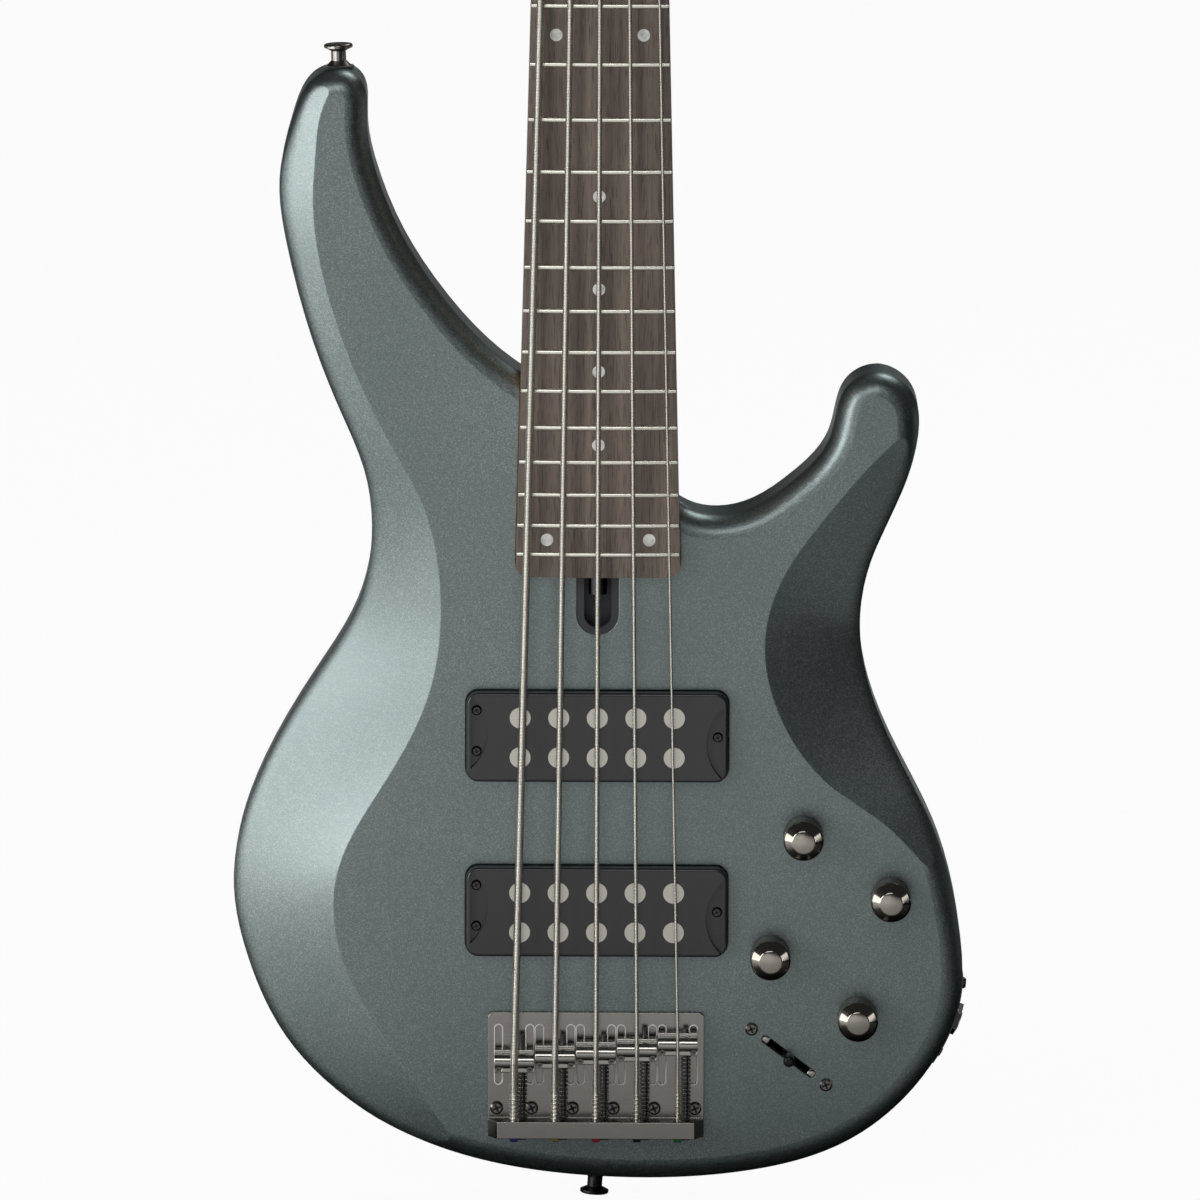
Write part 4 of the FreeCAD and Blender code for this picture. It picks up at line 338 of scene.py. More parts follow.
# %% [markdown]
# ## Plated and polished metal
# Frets and strings are bare nickel alloy. The bridge, the knobs and the tuners carry a smoked nickel plate:
# a dark, slightly brown mirror. Real plating is never quite even, so faint brushing lines and soft
# blotches change how rough it is. Only roughness and a little colour vary: the metal itself stays metal.

# %% Metals
def plated(name, dark, light, roughness, lines=(900, 900, 60), spread=0.14, depth=0.002 * MM,
           round_edges=0.0):
    """A metal whose brushing lines run along the axis with the smallest number."""
    metal = Finish(name, Metallic=1.0)
    brushing = metal.noise(metal.stretch(lines), 1.0, 3.0)
    blotch = metal.noise(metal.place, 70.0, 2.0)
    colour = metal.blend(blotch * 0.6 + brushing * 0.4, (*dark, 1), (*light, 1))
    metal.feed(Base_Color=colour, Roughness=roughness + spread * (brushing - 0.5) + 0.06 * blotch)
    metal.dent(brushing, depth, round_edges)
    return metal.material


fret_nickel = plated("fret_nickel", (0.78, 0.75, 0.66), (0.95, 0.92, 0.83), 0.26)
smoked_nickel = plated("smoked_nickel", (0.150, 0.140, 0.132), (0.235, 0.222, 0.208), 0.22)
smoked_bridge = plated("smoked_nickel_bridge", (0.255, 0.242, 0.225), (0.345, 0.327, 0.306), 0.20,
                       (30, 900, 900), 0.08, 0.0004 * MM, 0.5 * MM)
bright_smoke = plated("bright_smoked_nickel", (0.27, 0.248, 0.218), (0.36, 0.333, 0.296), 0.09,
                      (500, 500, 500), 0.05)
saddle_smoke = plated("saddle_smoked_nickel", (0.36, 0.345, 0.32), (0.52, 0.50, 0.465), 0.14,
                      (60, 900, 900), 0.06, 0.001 * MM, 0.5 * MM)
pole_nickel = plated("pole_nickel", (0.52, 0.50, 0.44), (0.70, 0.68, 0.61), 0.30, (1200, 400, 1200))
black_steel = plated("black_steel", (0.040, 0.040, 0.043), (0.095, 0.093, 0.094), 0.24)
spring_steel = plated("spring_steel", (0.125, 0.120, 0.113), (0.23, 0.222, 0.208), 0.12,
                      (700, 700, 700), 0.06)
print("Made eight metals, from", fret_nickel.name, "to", spring_steel.name)

# %% [markdown]
# ## Wound strings
# A bass string is a steel core with nickel wire wound tightly round it. The turns are under a millimetre
# apart and run all along the string, so fine rings across the string give its grip and its dull shine.
# Thousands of modelled rings would be wasted on it: a band wave along Z, fed to a bump, does the same.
# The same wave also darkens the colour in the hollows between the turns, as painted shade, and lightens it
# on their crests, as painted highlight.

# %% Wound strings
def wound_nickel():
    wire = Finish("wound_nickel", Metallic=1.0)
    rings = wire.add("ShaderNodeTexWave", {"wave_type": "BANDS", "bands_direction": "Z"},
                     {"Vector": wire.place, "Scale": 480.0, "Distortion": 0.4, "Detail": 1.0,
                      "Detail Scale": 2.0}, out="Fac")
    wear = wire.noise(wire.stretch((400, 400, 25)), 1.0, 3.0)
    # The ramp is dark where the wave is low, painted shade between the turns, and light where it is high,
    # painted highlight on the crests; the wear noise mixed in is uneven wear of the wire.
    colour = wire.ramp(rings * 0.65 + wear * 0.35, (0.1, (0.34, 0.315, 0.27)), (0.5, (0.72, 0.69, 0.61)),
                       (0.9, (0.92, 0.89, 0.81)))
    wire.feed(Base_Color=colour, Roughness=0.30 + 0.12 * wear)
    wire.dent(rings, 0.10 * MM)
    return wire.material


string_nickel = wound_nickel()
print("Made", string_nickel.name)

# %% [markdown]
# ## Plastics, pearl, felt and foam
# Pickup covers are glossy moulded black plastic, the cover plates on the back are grained and dull, and
# the position dots are a pale shell with a slow swirl. Small things, but they are seen from close by,
# so each gets its own grain. The colour of the moulded pieces hardly varies: their roughness does.

# %% Plastics and soft trims
def moulded(name, colour, roughness, grain, depth, gloss=0.0):
    """A moulded plastic: an even colour, a fine grain and a little haze from handling."""
    plastic = Finish(name, Coat_Weight=gloss, Coat_Roughness=0.08)
    pimples = plastic.noise(plastic.place, grain, 2.0)
    haze = plastic.noise(plastic.place, 45.0, 3.0)
    tint = plastic.blend(haze, (*colour, 1), (*[min(1, c * 1.6 + 0.004) for c in colour], 1))
    plastic.feed(Base_Color=tint, Roughness=roughness + 0.14 * (haze - 0.5) + 0.08 * (pimples - 0.5))
    plastic.dent(pimples, depth)
    return plastic.material


def shell():
    pearl = Finish("pale_shell", Coat_Weight=0.5, Coat_Roughness=0.05, Roughness=0.25)
    swirl = pearl.noise(pearl.stretch((330, 330, 240)), 1.0, 4.0, 0.6)
    colour = pearl.ramp(swirl, (0.35, (0.46, 0.47, 0.46)), (0.5, (0.66, 0.66, 0.63)),
                        (0.65, (0.80, 0.79, 0.75)))
    pearl.feed(Base_Color=colour)
    return pearl.material


def fuzzy(name, colour, scale, depth):
    """Felt or foam: rough, with small soft lumps."""
    cloth = Finish(name, Roughness=0.95, Sheen_Weight=0.3)
    lumps = cloth.noise(cloth.place, scale, 4.0, 0.65)
    tint = cloth.blend(lumps, (*[c * 0.5 for c in colour], 1), (*[c * 1.5 for c in colour], 1))
    cloth.feed(Base_Color=tint)
    cloth.dent(lumps, depth)
    return cloth.material


pickup_black = moulded("pickup_black", (0.010, 0.010, 0.0115), 0.30, 5000.0, 0.003 * MM, gloss=0.25)
grained_black = moulded("grained_black", (0.016, 0.016, 0.017), 0.55, 2600.0, 0.03 * MM)
liner_black = moulded("liner_black", (0.020, 0.022, 0.028), 0.42, 3000.0, 0.01 * MM)
nut_black = moulded("nut_black", (0.014, 0.014, 0.014), 0.35, 4000.0, 0.004 * MM)
board_green = moulded("circuit_green", (0.020, 0.095, 0.045), 0.45, 900.0, 0.03 * MM)
battery_wrap = moulded("battery_wrap", (0.050, 0.052, 0.056), 0.28, 2000.0, 0.005 * MM, gloss=0.3)
pale_shell = shell()
washer_felt = fuzzy("washer_felt", (0.022, 0.022, 0.023), 2500.0, 0.10 * MM)
pickup_foam = fuzzy("pickup_foam", (0.050, 0.050, 0.052), 1400.0, 0.20 * MM)
print("Made", len(bpy.data.materials), "materials so far")

# %% [markdown]
# ## Ball ends
# A bass string ends in a small drum that stops it behind the bridge. Makers of strings colour these drums
# so that a set can be told apart. All five are one CAD node, so the colour follows X: a ramp with steps
# gives each drum its own colour, from the lowest string on the left to the highest on the right.

# %% Ball ends
DRUMS_WIDTH = 90 * MM


def drum_colours():
    drum = Finish("coloured_drums", Metallic=0.55)
    across = drum.add("ShaderNodeSeparateXYZ", {}, {"Vector": drum.place}, out="X")
    share = (across + DRUMS_WIDTH / 2) * (1 / DRUMS_WIDTH)
    colour = drum.add("ShaderNodeValToRGB", {"interpolation": "CONSTANT", "stops": (
        (0.0, (0.075, 0.050, 0.300)), (0.2, (0.300, 0.260, 0.045)), (0.4, (0.450, 0.020, 0.040)),
        (0.6, (0.020, 0.020, 0.024)), (0.8, (0.020, 0.210, 0.060)),
    )}, {"Fac": share}, out="Color")
    worn = drum.noise(drum.place, 900.0, 3.0)
    drum.feed(Base_Color=colour, Roughness=0.28 + 0.2 * worn)
    drum.dent(worn, 0.02 * MM)
    return drum.material


ball_colours = drum_colours()
print("Made", ball_colours.name)

# %% [markdown]
# ## Lever of the selector
# The lever is one CAD node, but on the real switch a black cap is pushed over a bright metal blade. The
# change lies five millimetres over the deck. Y counts into the instrument, so everything in front of that
# depth gets a smooth black, and everything behind it gets nickel: one comparison feeds both inputs.

# %% Lever of the selector
CAP_OVER_DECK = 5.2 * MM


def capped_lever():
    lever = Finish("capped_lever", Specular_IOR_Level=0.3)
    depth = lever.add("ShaderNodeSeparateXYZ", {}, {"Vector": lever.place}, out="Y")
    bare = depth > DECK_DEPTH - CAP_OVER_DECK
    scuffs = lever.noise(lever.place, 700.0, 3.0)
    colour = lever.blend(bare, (0.004, 0.004, 0.005, 1), (0.62, 0.60, 0.56, 1))
    lever.feed(Base_Color=colour, Metallic=bare, Roughness=0.20 + 0.18 * scuffs)
    lever.dent(scuffs, 0.003 * MM)
    return lever.material


lever_tip = capped_lever()
print("Made", lever_tip.name)

# %% [markdown]
# ## Dressing the CAD nodes
# A CAD node keeps its mesh, and only its material slots change. One table says which finish each node
# gets, in the order in which one would walk over the instrument. A node that is missing from the table
# would stay plain grey, so the cell stops with its name if there is one.

# %% Dress the CAD nodes
FINISHES = {
    body_paint: ("body",),
    neck_maple: ("neck",),
    board_rosewood: ("fingerboard",),
    fret_nickel: ("frets", "output_jack", "potentiometers", "selector_switch", "volume_shaft", "blend_shaft",
                  "bass_shaft", "treble_shaft"),
    pale_shell: ("position_dots",),
    nut_black: ("nut",),
    liner_black: ("truss_access",),
    grained_black: ("control_cover", "battery_box", "battery_door"),
    battery_wrap: ("battery",),
    board_green: ("preamp_board",),
    smoked_nickel: ("neck_screws", "neck_ferrules", "strap_buttons", "selector_screws", "bridge_screws",
                    "saddle_height_screws", "tuner_housings", "tuner_bushings")
    + tuple("tuner_%s_%s" % (part, string) for part in ("post", "key") for string in "beadg"),
    smoked_bridge: ("bridge_plate",),
    bright_smoke: ("volume_knob", "blend_knob", "bass_knob", "treble_knob"),
    saddle_smoke: ("saddles",),
    black_steel: ("truss_rod", "strap_screws", "small_screws", "pickup_screws", "intonation_screws",
                  "jack_plate", "panel_nuts"),
    spring_steel: ("intonation_springs",),
    lever_tip: ("selector_lever",),
    washer_felt: ("strap_felts",),
    pickup_foam: ("pickup_foams",),
    pickup_black: ("neck_pickup", "bridge_pickup"),
    pole_nickel: ("neck_pickup_poles", "bridge_pickup_poles"),
    string_nickel: ("strings",),
    ball_colours: ("ball_ends",),
}
bare = set(frame["nodes"])
for finish, nodes in FINISHES.items():
    for node in nodes:
        slots = frame["nodes"][node].data.materials
        slots.clear()
        slots.append(finish)
        bare.discard(node)
if bare:
    raise RuntimeError("no finish for %s" % sorted(bare))
print("Dressed", len(frame["nodes"]), "CAD nodes in", len(FINISHES), "finishes")

# %% [markdown]
# ## Springs of the bridge
# Each saddle is pushed forward by a small coil spring round its long screw. In CAD a spring is a coil of
# six-sided wire, which is enough to check clearances; up close the wire has to be round. A circle of
# wire, spun many times round the screw while it moves along it, is exactly how a spring is wound.
# The CAD spring gives the place, the length and the width, and the spun one takes its place.

# %% Springs of the bridge
SPRING_WIRE = 0.7 * MM
SPRING_CURLS = (11, 12, 14, 15, 16)
STEPS_IN_A_CURL = 18
WIRE_SIDES = 8


def wind(mesh, start, centre, axis, along, wire, curls, steps):
    """Spin a circle of wire round an axis while it moves along it, and close both ends."""
    before = set(mesh.edges)
    circle = bmesh.ops.create_circle(mesh, segments=WIRE_SIDES, radius=wire / 2)
    across = axis.cross(start - centre).normalized()
    turn = Vector((0, 0, 1)).rotation_difference(across).to_matrix().to_4x4()
    bmesh.ops.transform(mesh, matrix=Matrix.Translation(start) @ turn, verts=circle["verts"])
    edges = [edge for edge in mesh.edges if edge not in before]
    count = round(curls * steps)
    bmesh.ops.spin(mesh, geom=circle["verts"] + edges, cent=centre, axis=axis, dvec=axis * (along / count),
                   angle=curls * 2 * math.pi, steps=count)
    ends = [edge for edge in mesh.edges if edge.is_boundary]
    bmesh.ops.holes_fill(mesh, edges=ends, sides=0)


coils = bmesh.new()
for curls, points in zip(SPRING_CURLS, solids("intonation_springs")):
    low, high = corners(points)
    middle = (low + high) / 2
    radius = (high.x - low.x) / 2 - SPRING_WIRE / 2
    centre = Vector((middle.x, middle.y, low.z + SPRING_WIRE / 2))
    wind(coils, centre + Vector((radius, 0, 0)), centre, Vector((0, 0, 1)), high.z - low.z - SPRING_WIRE,
         SPRING_WIRE, curls, STEPS_IN_A_CURL)
springs = piece("saddle_springs", coils, spring_steel, "instrument", crease=60)
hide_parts("intonation_springs")

# %% [markdown]
# ## Lips of the bridge slots
# The feet of the saddles' small screws run in ten long slots in the bridge plate. When such a slot is
# stamped, the metal beside it is pushed up a little, and that thin lip catches the light. A circle is
# stretched into the form of a slot, inset once upwards and once downwards, and its middle is taken away:
# what is left is a bead all round the slot, and a bridge between its two rims closes its underside.
# Cutting it into the plate would change a CAD mesh. A mirror so thin would show as scattered specks, so
# the lip has a pale and duller finish than the plate: a plain light grey that is painted highlight, the
# bright line that light caught along the lip's edge would give.

# %% Lips of the bridge slots
PLATE_FACE = 1.5 * MM
SLOT_LENGTH = 26.4 * MM
SLOT_WIDTH = 3.1 * MM
SLOT_START = -858.9 * MM
SLOT_SIDE = 6.9 * MM
SADDLE_STEP = 18 * MM
LIP_WIDTH = 0.24 * MM
LIP_RISE = 0.10 * MM
LIP_SEGMENTS = 32
lips = bmesh.new()
for saddle in (-2, -1, 0, 1, 2):
    for side in (-SLOT_SIDE, SLOT_SIDE):
        disc = bmesh.ops.create_circle(lips, cap_ends=True, segments=LIP_SEGMENTS,
                                       radius=SLOT_WIDTH / 2 + LIP_WIDTH * 2)
        middle = disc["verts"][0].link_faces[0]
        for vertex in disc["verts"]:
            if vertex.co.y < -LIP_RISE / 10:
                vertex.co.y -= SLOT_LENGTH - SLOT_WIDTH
        place = Matrix.Translation((saddle * SADDLE_STEP + side, PLATE_FACE, SLOT_START - SLOT_WIDTH / 2))
        bmesh.ops.transform(lips, matrix=place @ Matrix.Rotation(math.pi / 2, 4, "X"), verts=disc["verts"])
        for rise in (LIP_RISE, -LIP_RISE):
            bmesh.ops.inset_region(lips, faces=[middle], thickness=LIP_WIDTH, depth=rise, use_boundary=True,
                                   use_even_offset=True)
        bmesh.ops.delete(lips, geom=[middle], context="FACES_ONLY")
        bmesh.ops.bridge_loops(lips, edges=[edge for edge in lips.edges if edge.is_boundary])
# The lip's pale grey is painted highlight, not the colour of the metal: it stands in for light caught on the
# edge.
lip_painted_highlight = moulded("lip_painted_highlight", (0.50, 0.485, 0.46), 0.35, 900.0, 0.004 * MM)
slot_lips = piece("bridge_slot_lips", lips, lip_painted_highlight, "instrument", crease=80)

# %% [markdown]
# ## Knobs
# A turned metal knob: a knurled skirt for the fingers, a smooth shoulder and a bevelled top with a flat.
# The outline of one half, with a recess for the nut below it and a bore for the shaft, is spun round the
# axis. A knurl is cut by two crossing sets of grooves, so points of the skirt lie high and low in turn,
# like a chessboard: every second point of the spun skirt is pushed inwards by three tenths of a
# millimetre. A bump map could do it too, but the edge would stay smooth. The tables give the outline in
# millimetres: foot and shoulder by how far they lie inside the full radius and over the foot, the top by
# how far it lies from the axis and under the highest face.

# %% Knobs
KNOB_STEPS = 96
KNURL_ROWS = 15
KNURL_DEPTH = 0.30 * MM
KNURL_FOOT = 0.9 * MM
KNURL_TOP = 12.2 * MM
ON_THE_SKIRT = 0.01 * MM
KNOB_WALL = 1.4 * MM
KNOB_RECESS = 5.0 * MM
BORE_ROOM = 0.1 * MM
KNOB_FOOT = ((0.5, 0), (0.2, 0.4))
KNOB_SHOULDER = ((0.45, 12.5), (0.45, 12.9), (0.05, 13.2), (0.05, 14.2), (0.35, 14.75), (0.9, 15.2))
KNOB_TOP = ((5.3, 0.35), (4.95, 0.08), (4.6, 0), (0, 0))


def knurled_knob(points, shaft):
    """A knob in the place of the CAD knob, with a recess for the nut below it and a bore for its shaft."""
    low, high = corners(points)
    shaft_low, shaft_high = corners(shaft)
    foot = Vector(((low.x + high.x) / 2, high.y, (low.z + high.z) / 2))
    radius = (high.x - low.x) / 2
    height = high.y - low.y
    rows = [KNURL_FOOT + (KNURL_TOP - KNURL_FOOT) * row / (KNURL_ROWS - 1) for row in range(KNURL_ROWS)]
    bore = (shaft_high.x - shaft_low.x) / 2 + BORE_ROOM
    bore_end = foot.y - shaft_low.y + BORE_ROOM
    room = radius - KNOB_WALL
    outline = [(0, bore_end), (bore, bore_end), (bore, KNOB_RECESS), (room, KNOB_RECESS), (room, 0)]
    outline += [(radius - inside * MM, up * MM) for inside, up in KNOB_FOOT]
    outline += [(radius, row) for row in rows]
    outline += [(radius - inside * MM, up * MM) for inside, up in KNOB_SHOULDER]
    outline += [(out * MM, height - under * MM) for out, under in KNOB_TOP]
    mesh = bmesh.new()
    chain = [mesh.verts.new(foot + Vector((out, -up, 0))) for out, up in outline]
    edges = [mesh.edges.new(pair) for pair in zip(chain, chain[1:])]
    bmesh.ops.spin(mesh, geom=chain + edges, cent=foot, axis=OUT_OF_THE_FACE, angle=2 * math.pi,
                   steps=KNOB_STEPS, use_merge=True)
    bmesh.ops.remove_doubles(mesh, verts=mesh.verts, dist=MERGE_WITHIN)
    pitch = rows[1] - rows[0]
    for vertex in mesh.verts:
        flat = Vector((vertex.co.x - foot.x, 0, vertex.co.z - foot.z))
        if abs(flat.length - radius) > ON_THE_SKIRT:
            continue
        row = round((foot.y - vertex.co.y - KNURL_FOOT) / pitch)
        step = round(math.atan2(flat.z, flat.x) / (2 * math.pi) * KNOB_STEPS)
        if (step + row) % 2:
            vertex.co -= flat.normalized() * KNURL_DEPTH
    return mesh


knobs = []
for control in ("volume", "blend", "bass", "treble"):
    mesh = knurled_knob(solids(control + "_knob")[0], solids(control + "_shaft")[0])
    knob = piece(control + "_knob_turned", mesh, bright_smoke, control + "_control",
                 crease=28)
    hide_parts(control + "_knob")
    knobs.append(knob)

# %% [markdown]
# ## Ends of the selector slot
# Under the thin wood of the deck lies the metal plate of the switch, and at both ends of its slot, past the
# reach of the lever, some of that metal shows. Two small bars, a millimetre below the deck, are enough for
# it. The two screws of the switch give their place: the slot lies on the line between them.

# %% Ends of the selector slot
SLOT_END_FROM = 11.0 * MM
SLOT_END_TO = 14.3 * MM
SLOT_END_WIDTH = 3.2 * MM
SLOT_END_DEPTH = 1.0 * MM
SLOT_END_METAL = 0.5 * MM
SLOT_END_ROUND = 0.15 * MM
first, second = [sum(corners(points), Vector()) / 2 for points in solids("selector_screws")]
along = (second - first).normalized()
middle = (first + second) / 2
middle.y = DECK_DEPTH + SLOT_END_DEPTH + SLOT_END_METAL / 2
turn = Vector((1, 0, 0)).rotation_difference(along).to_matrix().to_4x4()
shape = Matrix.Diagonal((SLOT_END_TO - SLOT_END_FROM, SLOT_END_METAL, SLOT_END_WIDTH, 1))
bars = bmesh.new()
for end in (-1, 1):
    place = Matrix.Translation(middle + along * end * (SLOT_END_FROM + SLOT_END_TO) / 2)
    bmesh.ops.create_cube(bars, size=1, matrix=place @ turn @ shape)
bmesh.ops.bevel(bars, geom=list(bars.edges), offset=SLOT_END_ROUND, affect="EDGES", segments=2, profile=0.5,
                material=-1)
slot_ends = piece("selector_slot_ends", bars, saddle_smoke, "instrument")

# %% [markdown]
# ## Seat of the fourth neck screw
# Each neck screw and its ferrule stand in the body's wood. The rim of the deep cutaway runs through the
# place of the fourth screw, so there the body needs a rounded seat behind the neck. It is a cylinder in the
# body's paint with a rolled back edge, inset once and pushed in to take the ferrule. Adding to the body
# itself would change a CAD mesh, so the seat is a piece of its own.

# %% Seat of the fourth neck screw
SEAT_WALL = 6.5 * MM
SEAT_ROUND = 4.5 * MM
SEAT_ROOM = 0.15 * MM
SEAT_BELOW_BACK = 0.05 * MM
SEAT_SEGMENTS = 96
HEEL_BACK = 20.2 * MM


def back_cap(mesh):
    """The round face that lies farthest back."""
    rounds = [face for face in mesh.faces if len(face.verts) > 4]
    return max(rounds, key=lambda face: face.calc_center_median().y)


low, high = max((corners(points) for points in solids("neck_ferrules")), key=lambda box: box[0].x + box[0].z)
ferrule_radius = (high.x - low.x) / 2
back = high.y - SEAT_BELOW_BACK
centre = Vector(((low.x + high.x) / 2, (back + HEEL_BACK) / 2, (low.z + high.z) / 2))
upright = Matrix.Translation(centre) @ Matrix.Rotation(-math.pi / 2, 4, "X")
seat = bmesh.new()
bmesh.ops.create_cone(seat, cap_ends=True, segments=SEAT_SEGMENTS, radius1=ferrule_radius + SEAT_WALL,
                      radius2=ferrule_radius + SEAT_WALL, depth=back - HEEL_BACK, matrix=upright)
bmesh.ops.bevel(seat, geom=list(back_cap(seat).edges), offset=SEAT_ROUND, affect="EDGES", segments=6,
                profile=0.5, material=-1)
bmesh.ops.inset_region(seat, faces=[back_cap(seat)], thickness=SEAT_WALL - SEAT_ROUND - SEAT_ROOM)
floor_of_seat = bmesh.ops.extrude_discrete_faces(seat, faces=[back_cap(seat)])["faces"][0]
bmesh.ops.translate(seat, vec=(0, low.y - SEAT_ROOM - back, 0), verts=floor_of_seat.verts)
piece("neck_screw_seat", seat, body_paint, "instrument", crease=30)

# %% [markdown]
# ## Felt washers
# A felt washer under each strap button keeps the metal off the lacquer. In CAD it is a flat ring with sharp
# edges, while felt that is squeezed under a button has a soft round edge. So a rectangle is spun round the
# axis of the button, and the four sharp circles that this gives are bevelled. The CAD ring gives the sizes.

# %% Felt washers
FELT_BORE = 2.1 * MM
FELT_ROUND = 0.45 * MM
FELT_STEPS = 48
SHARP = math.radians(60)
mounts = {mount["name"]: mount for mount in frame["record"]["mounts"]}
felts = bmesh.new()
for button, points in zip(("strap_button_horn", "strap_button_end"), solids("strap_felts")):
    out = Vector(mounts[button]["axis"]).normalized()
    sideways = out.cross(OUT_OF_THE_FACE).normalized()
    centre = sum(corners(points), Vector()) / 2
    half = max((point - centre).dot(out) for point in points)
    radius = max((point - centre).cross(out).length for point in points)
    section = [felts.verts.new(centre + sideways * across + out * up) for across, up in (
        (FELT_BORE, -half), (radius, -half), (radius, half), (FELT_BORE, half))]
    edges = [felts.edges.new(pair) for pair in zip(section, section[1:] + section[:1])]
    bmesh.ops.spin(felts, geom=section + edges, cent=centre, axis=out, angle=2 * math.pi, steps=FELT_STEPS,
                   use_merge=True)
bmesh.ops.recalc_face_normals(felts, faces=felts.faces)
sharp = [edge for edge in felts.edges if edge.calc_face_angle(0) > SHARP]
bmesh.ops.bevel(felts, geom=sharp, offset=FELT_ROUND, affect="EDGES", segments=4, profile=0.5, material=-1)
felt_rings = piece("strap_felt_rings", felts, washer_felt, "instrument", crease=60)
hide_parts("strap_felts")

# %% [markdown]
# ## Cross recesses of the screws
# Most screws on the instrument have a cross recess for the driver. At this size the eye reads only a dark
# cross, the shade inside the recess, so two thin near-black bars, sunk into each head with just their faces
# showing, paint that shade in place of a recess that would need a cut through the head. One helper says
# which way a screw faces: most face the front or the back, those of the tuners lean with the headstock,
# and those of the jack plate face out of the side. The other finds the flat top of the head by how far
# its points reach that way.

# %% Cross recesses
# The bars' near-black colour is painted shade: a real recess is dark only because light does not reach into
# it.
recess_painted_shade = moulded("recess_painted_shade", (0.004, 0.004, 0.004), 0.6, 3000.0, 0.01 * MM)
HEAD_TILT = math.radians(10)
HEAD_BACK = Vector((0, math.cos(HEAD_TILT), -math.sin(HEAD_TILT)))
JACK_SIDE = 140 * MM
JACK_OUT = Vector((0.9427, 0, -0.3335))
FLAT_WITHIN = 0.02 * MM
CROSS_LENGTH_SHARE = 1.75
CROSS_WIDTH_SHARE = 0.26
CROSS_THICKNESS = 0.10 * MM
CROSS_SUNK = 0.03 * MM
CROSS_TURN = 0.4


def facing(node, points):
    """Which way a screw's head faces."""
    low = corners(points)[0]
    if node in ("pickup_screws", "bridge_screws", "selector_screws"):
        return OUT_OF_THE_FACE
    if node == "intonation_screws":
        return Vector((0, 0, -1))
    if node == "small_screws" and low.z > 0:
        return HEAD_BACK
    if node == "small_screws" and low.x > JACK_SIDE:
        return JACK_OUT
    return OUT_OF_THE_BACK


def cross_bars(mesh, points, out):
    """Two crossing near-black bars in the flat top of a screw's head: painted shade for its cross recess."""
    reach = max(point.dot(out) for point in points)
    top = [point for point in points if reach - point.dot(out) < FLAT_WITHIN]
    centre = sum(top, Vector()) / len(top)
    size = CROSS_LENGTH_SHARE * max((point - centre).length for point in top)
    turn = Vector((0, 0, 1)).rotation_difference(out).to_matrix().to_4x4()
    shape = Matrix.Diagonal((size, size * CROSS_WIDTH_SHARE, CROSS_THICKNESS, 1))
    sunk = Matrix.Translation(centre - out * CROSS_SUNK)
    for quarter in (CROSS_TURN, CROSS_TURN + math.pi / 2):
        spun = Matrix.Rotation(quarter, 4, "Z")
        bmesh.ops.create_cube(mesh, size=1, matrix=sunk @ turn @ spun @ shape)


bars = bmesh.new()
count = 0
for node in ("pickup_screws", "bridge_screws", "selector_screws", "neck_screws", "intonation_screws",
             "small_screws"):
    for points in solids(node):
        cross_bars(bars, points, facing(node, points))
        count += 1
piece("screw_recess_painted_shade", bars, recess_painted_shade, "instrument")
print("Marked", count, "screws")

# %% [markdown]
# ## Lock-wraps of the strings
# Just in front of the bridge wall a string is thicker: there the core is bent back round its ball end and
# wrapped round itself. The wrap is a short, open coil with a steep lead, lumpy to the touch. It is wound
# with the same helper as the springs, round the slanting end of each string. A row of the table is one
# string in millimetres: where it lies across, how deep and how high its saddle holds it, and its gauge.

# %% Lock-wraps
STRING_ENDS = (
    (-36.0, -11.43, -873.4, 3.30),
    (-18.0, -12.33, -871.1, 2.67),
    (0.0, -12.48, -869.3, 2.16),
    (18.0, -11.82, -867.9, 1.65),
    (36.0, -10.35, -865.5, 1.14),
)
TAIL_DEPTH = -6.2
TAIL_HEIGHT = -905.2
WRAP_START = 5.4 * MM
WRAP_LENGTH = 12.5 * MM
WRAP_WIRE = 0.80 * MM
WRAP_OUT = 0.12 * MM
WRAP_CURLS = 7.0
WRAP_STEPS = 14
SIDEWAYS = Vector((1, 0, 0))
wraps = bmesh.new()
for x, saddle_depth, saddle_height, gauge in STRING_ENDS:
    tail = Vector((x, TAIL_DEPTH, TAIL_HEIGHT)) * MM
    saddle = Vector((x, saddle_depth, saddle_height)) * MM
    along = (saddle - tail).normalized()
    start = tail + along * WRAP_START
    radius = gauge / 2 * MM + WRAP_OUT
    wind(wraps, start + SIDEWAYS * radius, start, along, WRAP_LENGTH, WRAP_WIRE, WRAP_CURLS, WRAP_STEPS)
piece("string_lock_wraps", wraps, fret_nickel, "instrument", crease=60)

# %% [markdown]
# ## Camera
# The photograph was taken with a long lens from a little above, looking down by nine and a half degrees, so
# the deck is seen almost square and upright lines stay parallel. The distance and the lens below were
# worked out from the places of frets, poles and screws. The camera leans by a fifth of a degree.

# %% Camera
LOOK_DOWN = math.radians(9.5)
LEAN = math.radians(0.224)
CAMERA_AWAY = 6.0
PIXELS_PER_METRE = 2286.05
PICTURE = 1200
FAR_CLIP = 400
AIM = Vector((0.98, -7.1, -667.56)) * MM
back = Vector((0, -math.cos(LOOK_DOWN), math.sin(LOOK_DOWN)))
lens = bpy.data.cameras.new("long_lens")
lens.lens = lens.sensor_width * PIXELS_PER_METRE * CAMERA_AWAY / PICTURE
lens.clip_end = FAR_CLIP
camera = bpy.data.objects.new("camera", lens)
bpy.context.scene.collection.objects.link(camera)
camera.location = AIM + back * CAMERA_AWAY
camera.rotation_mode = "QUATERNION"
camera.rotation_quaternion = (-back).to_track_quat("-Z", "Y") @ Quaternion((0, 0, 1), LEAN)
bpy.context.scene.camera = camera
print("Lens %.1f mm, camera at %s" % (lens.lens, tuple(round(c, 3) for c in camera.location)))

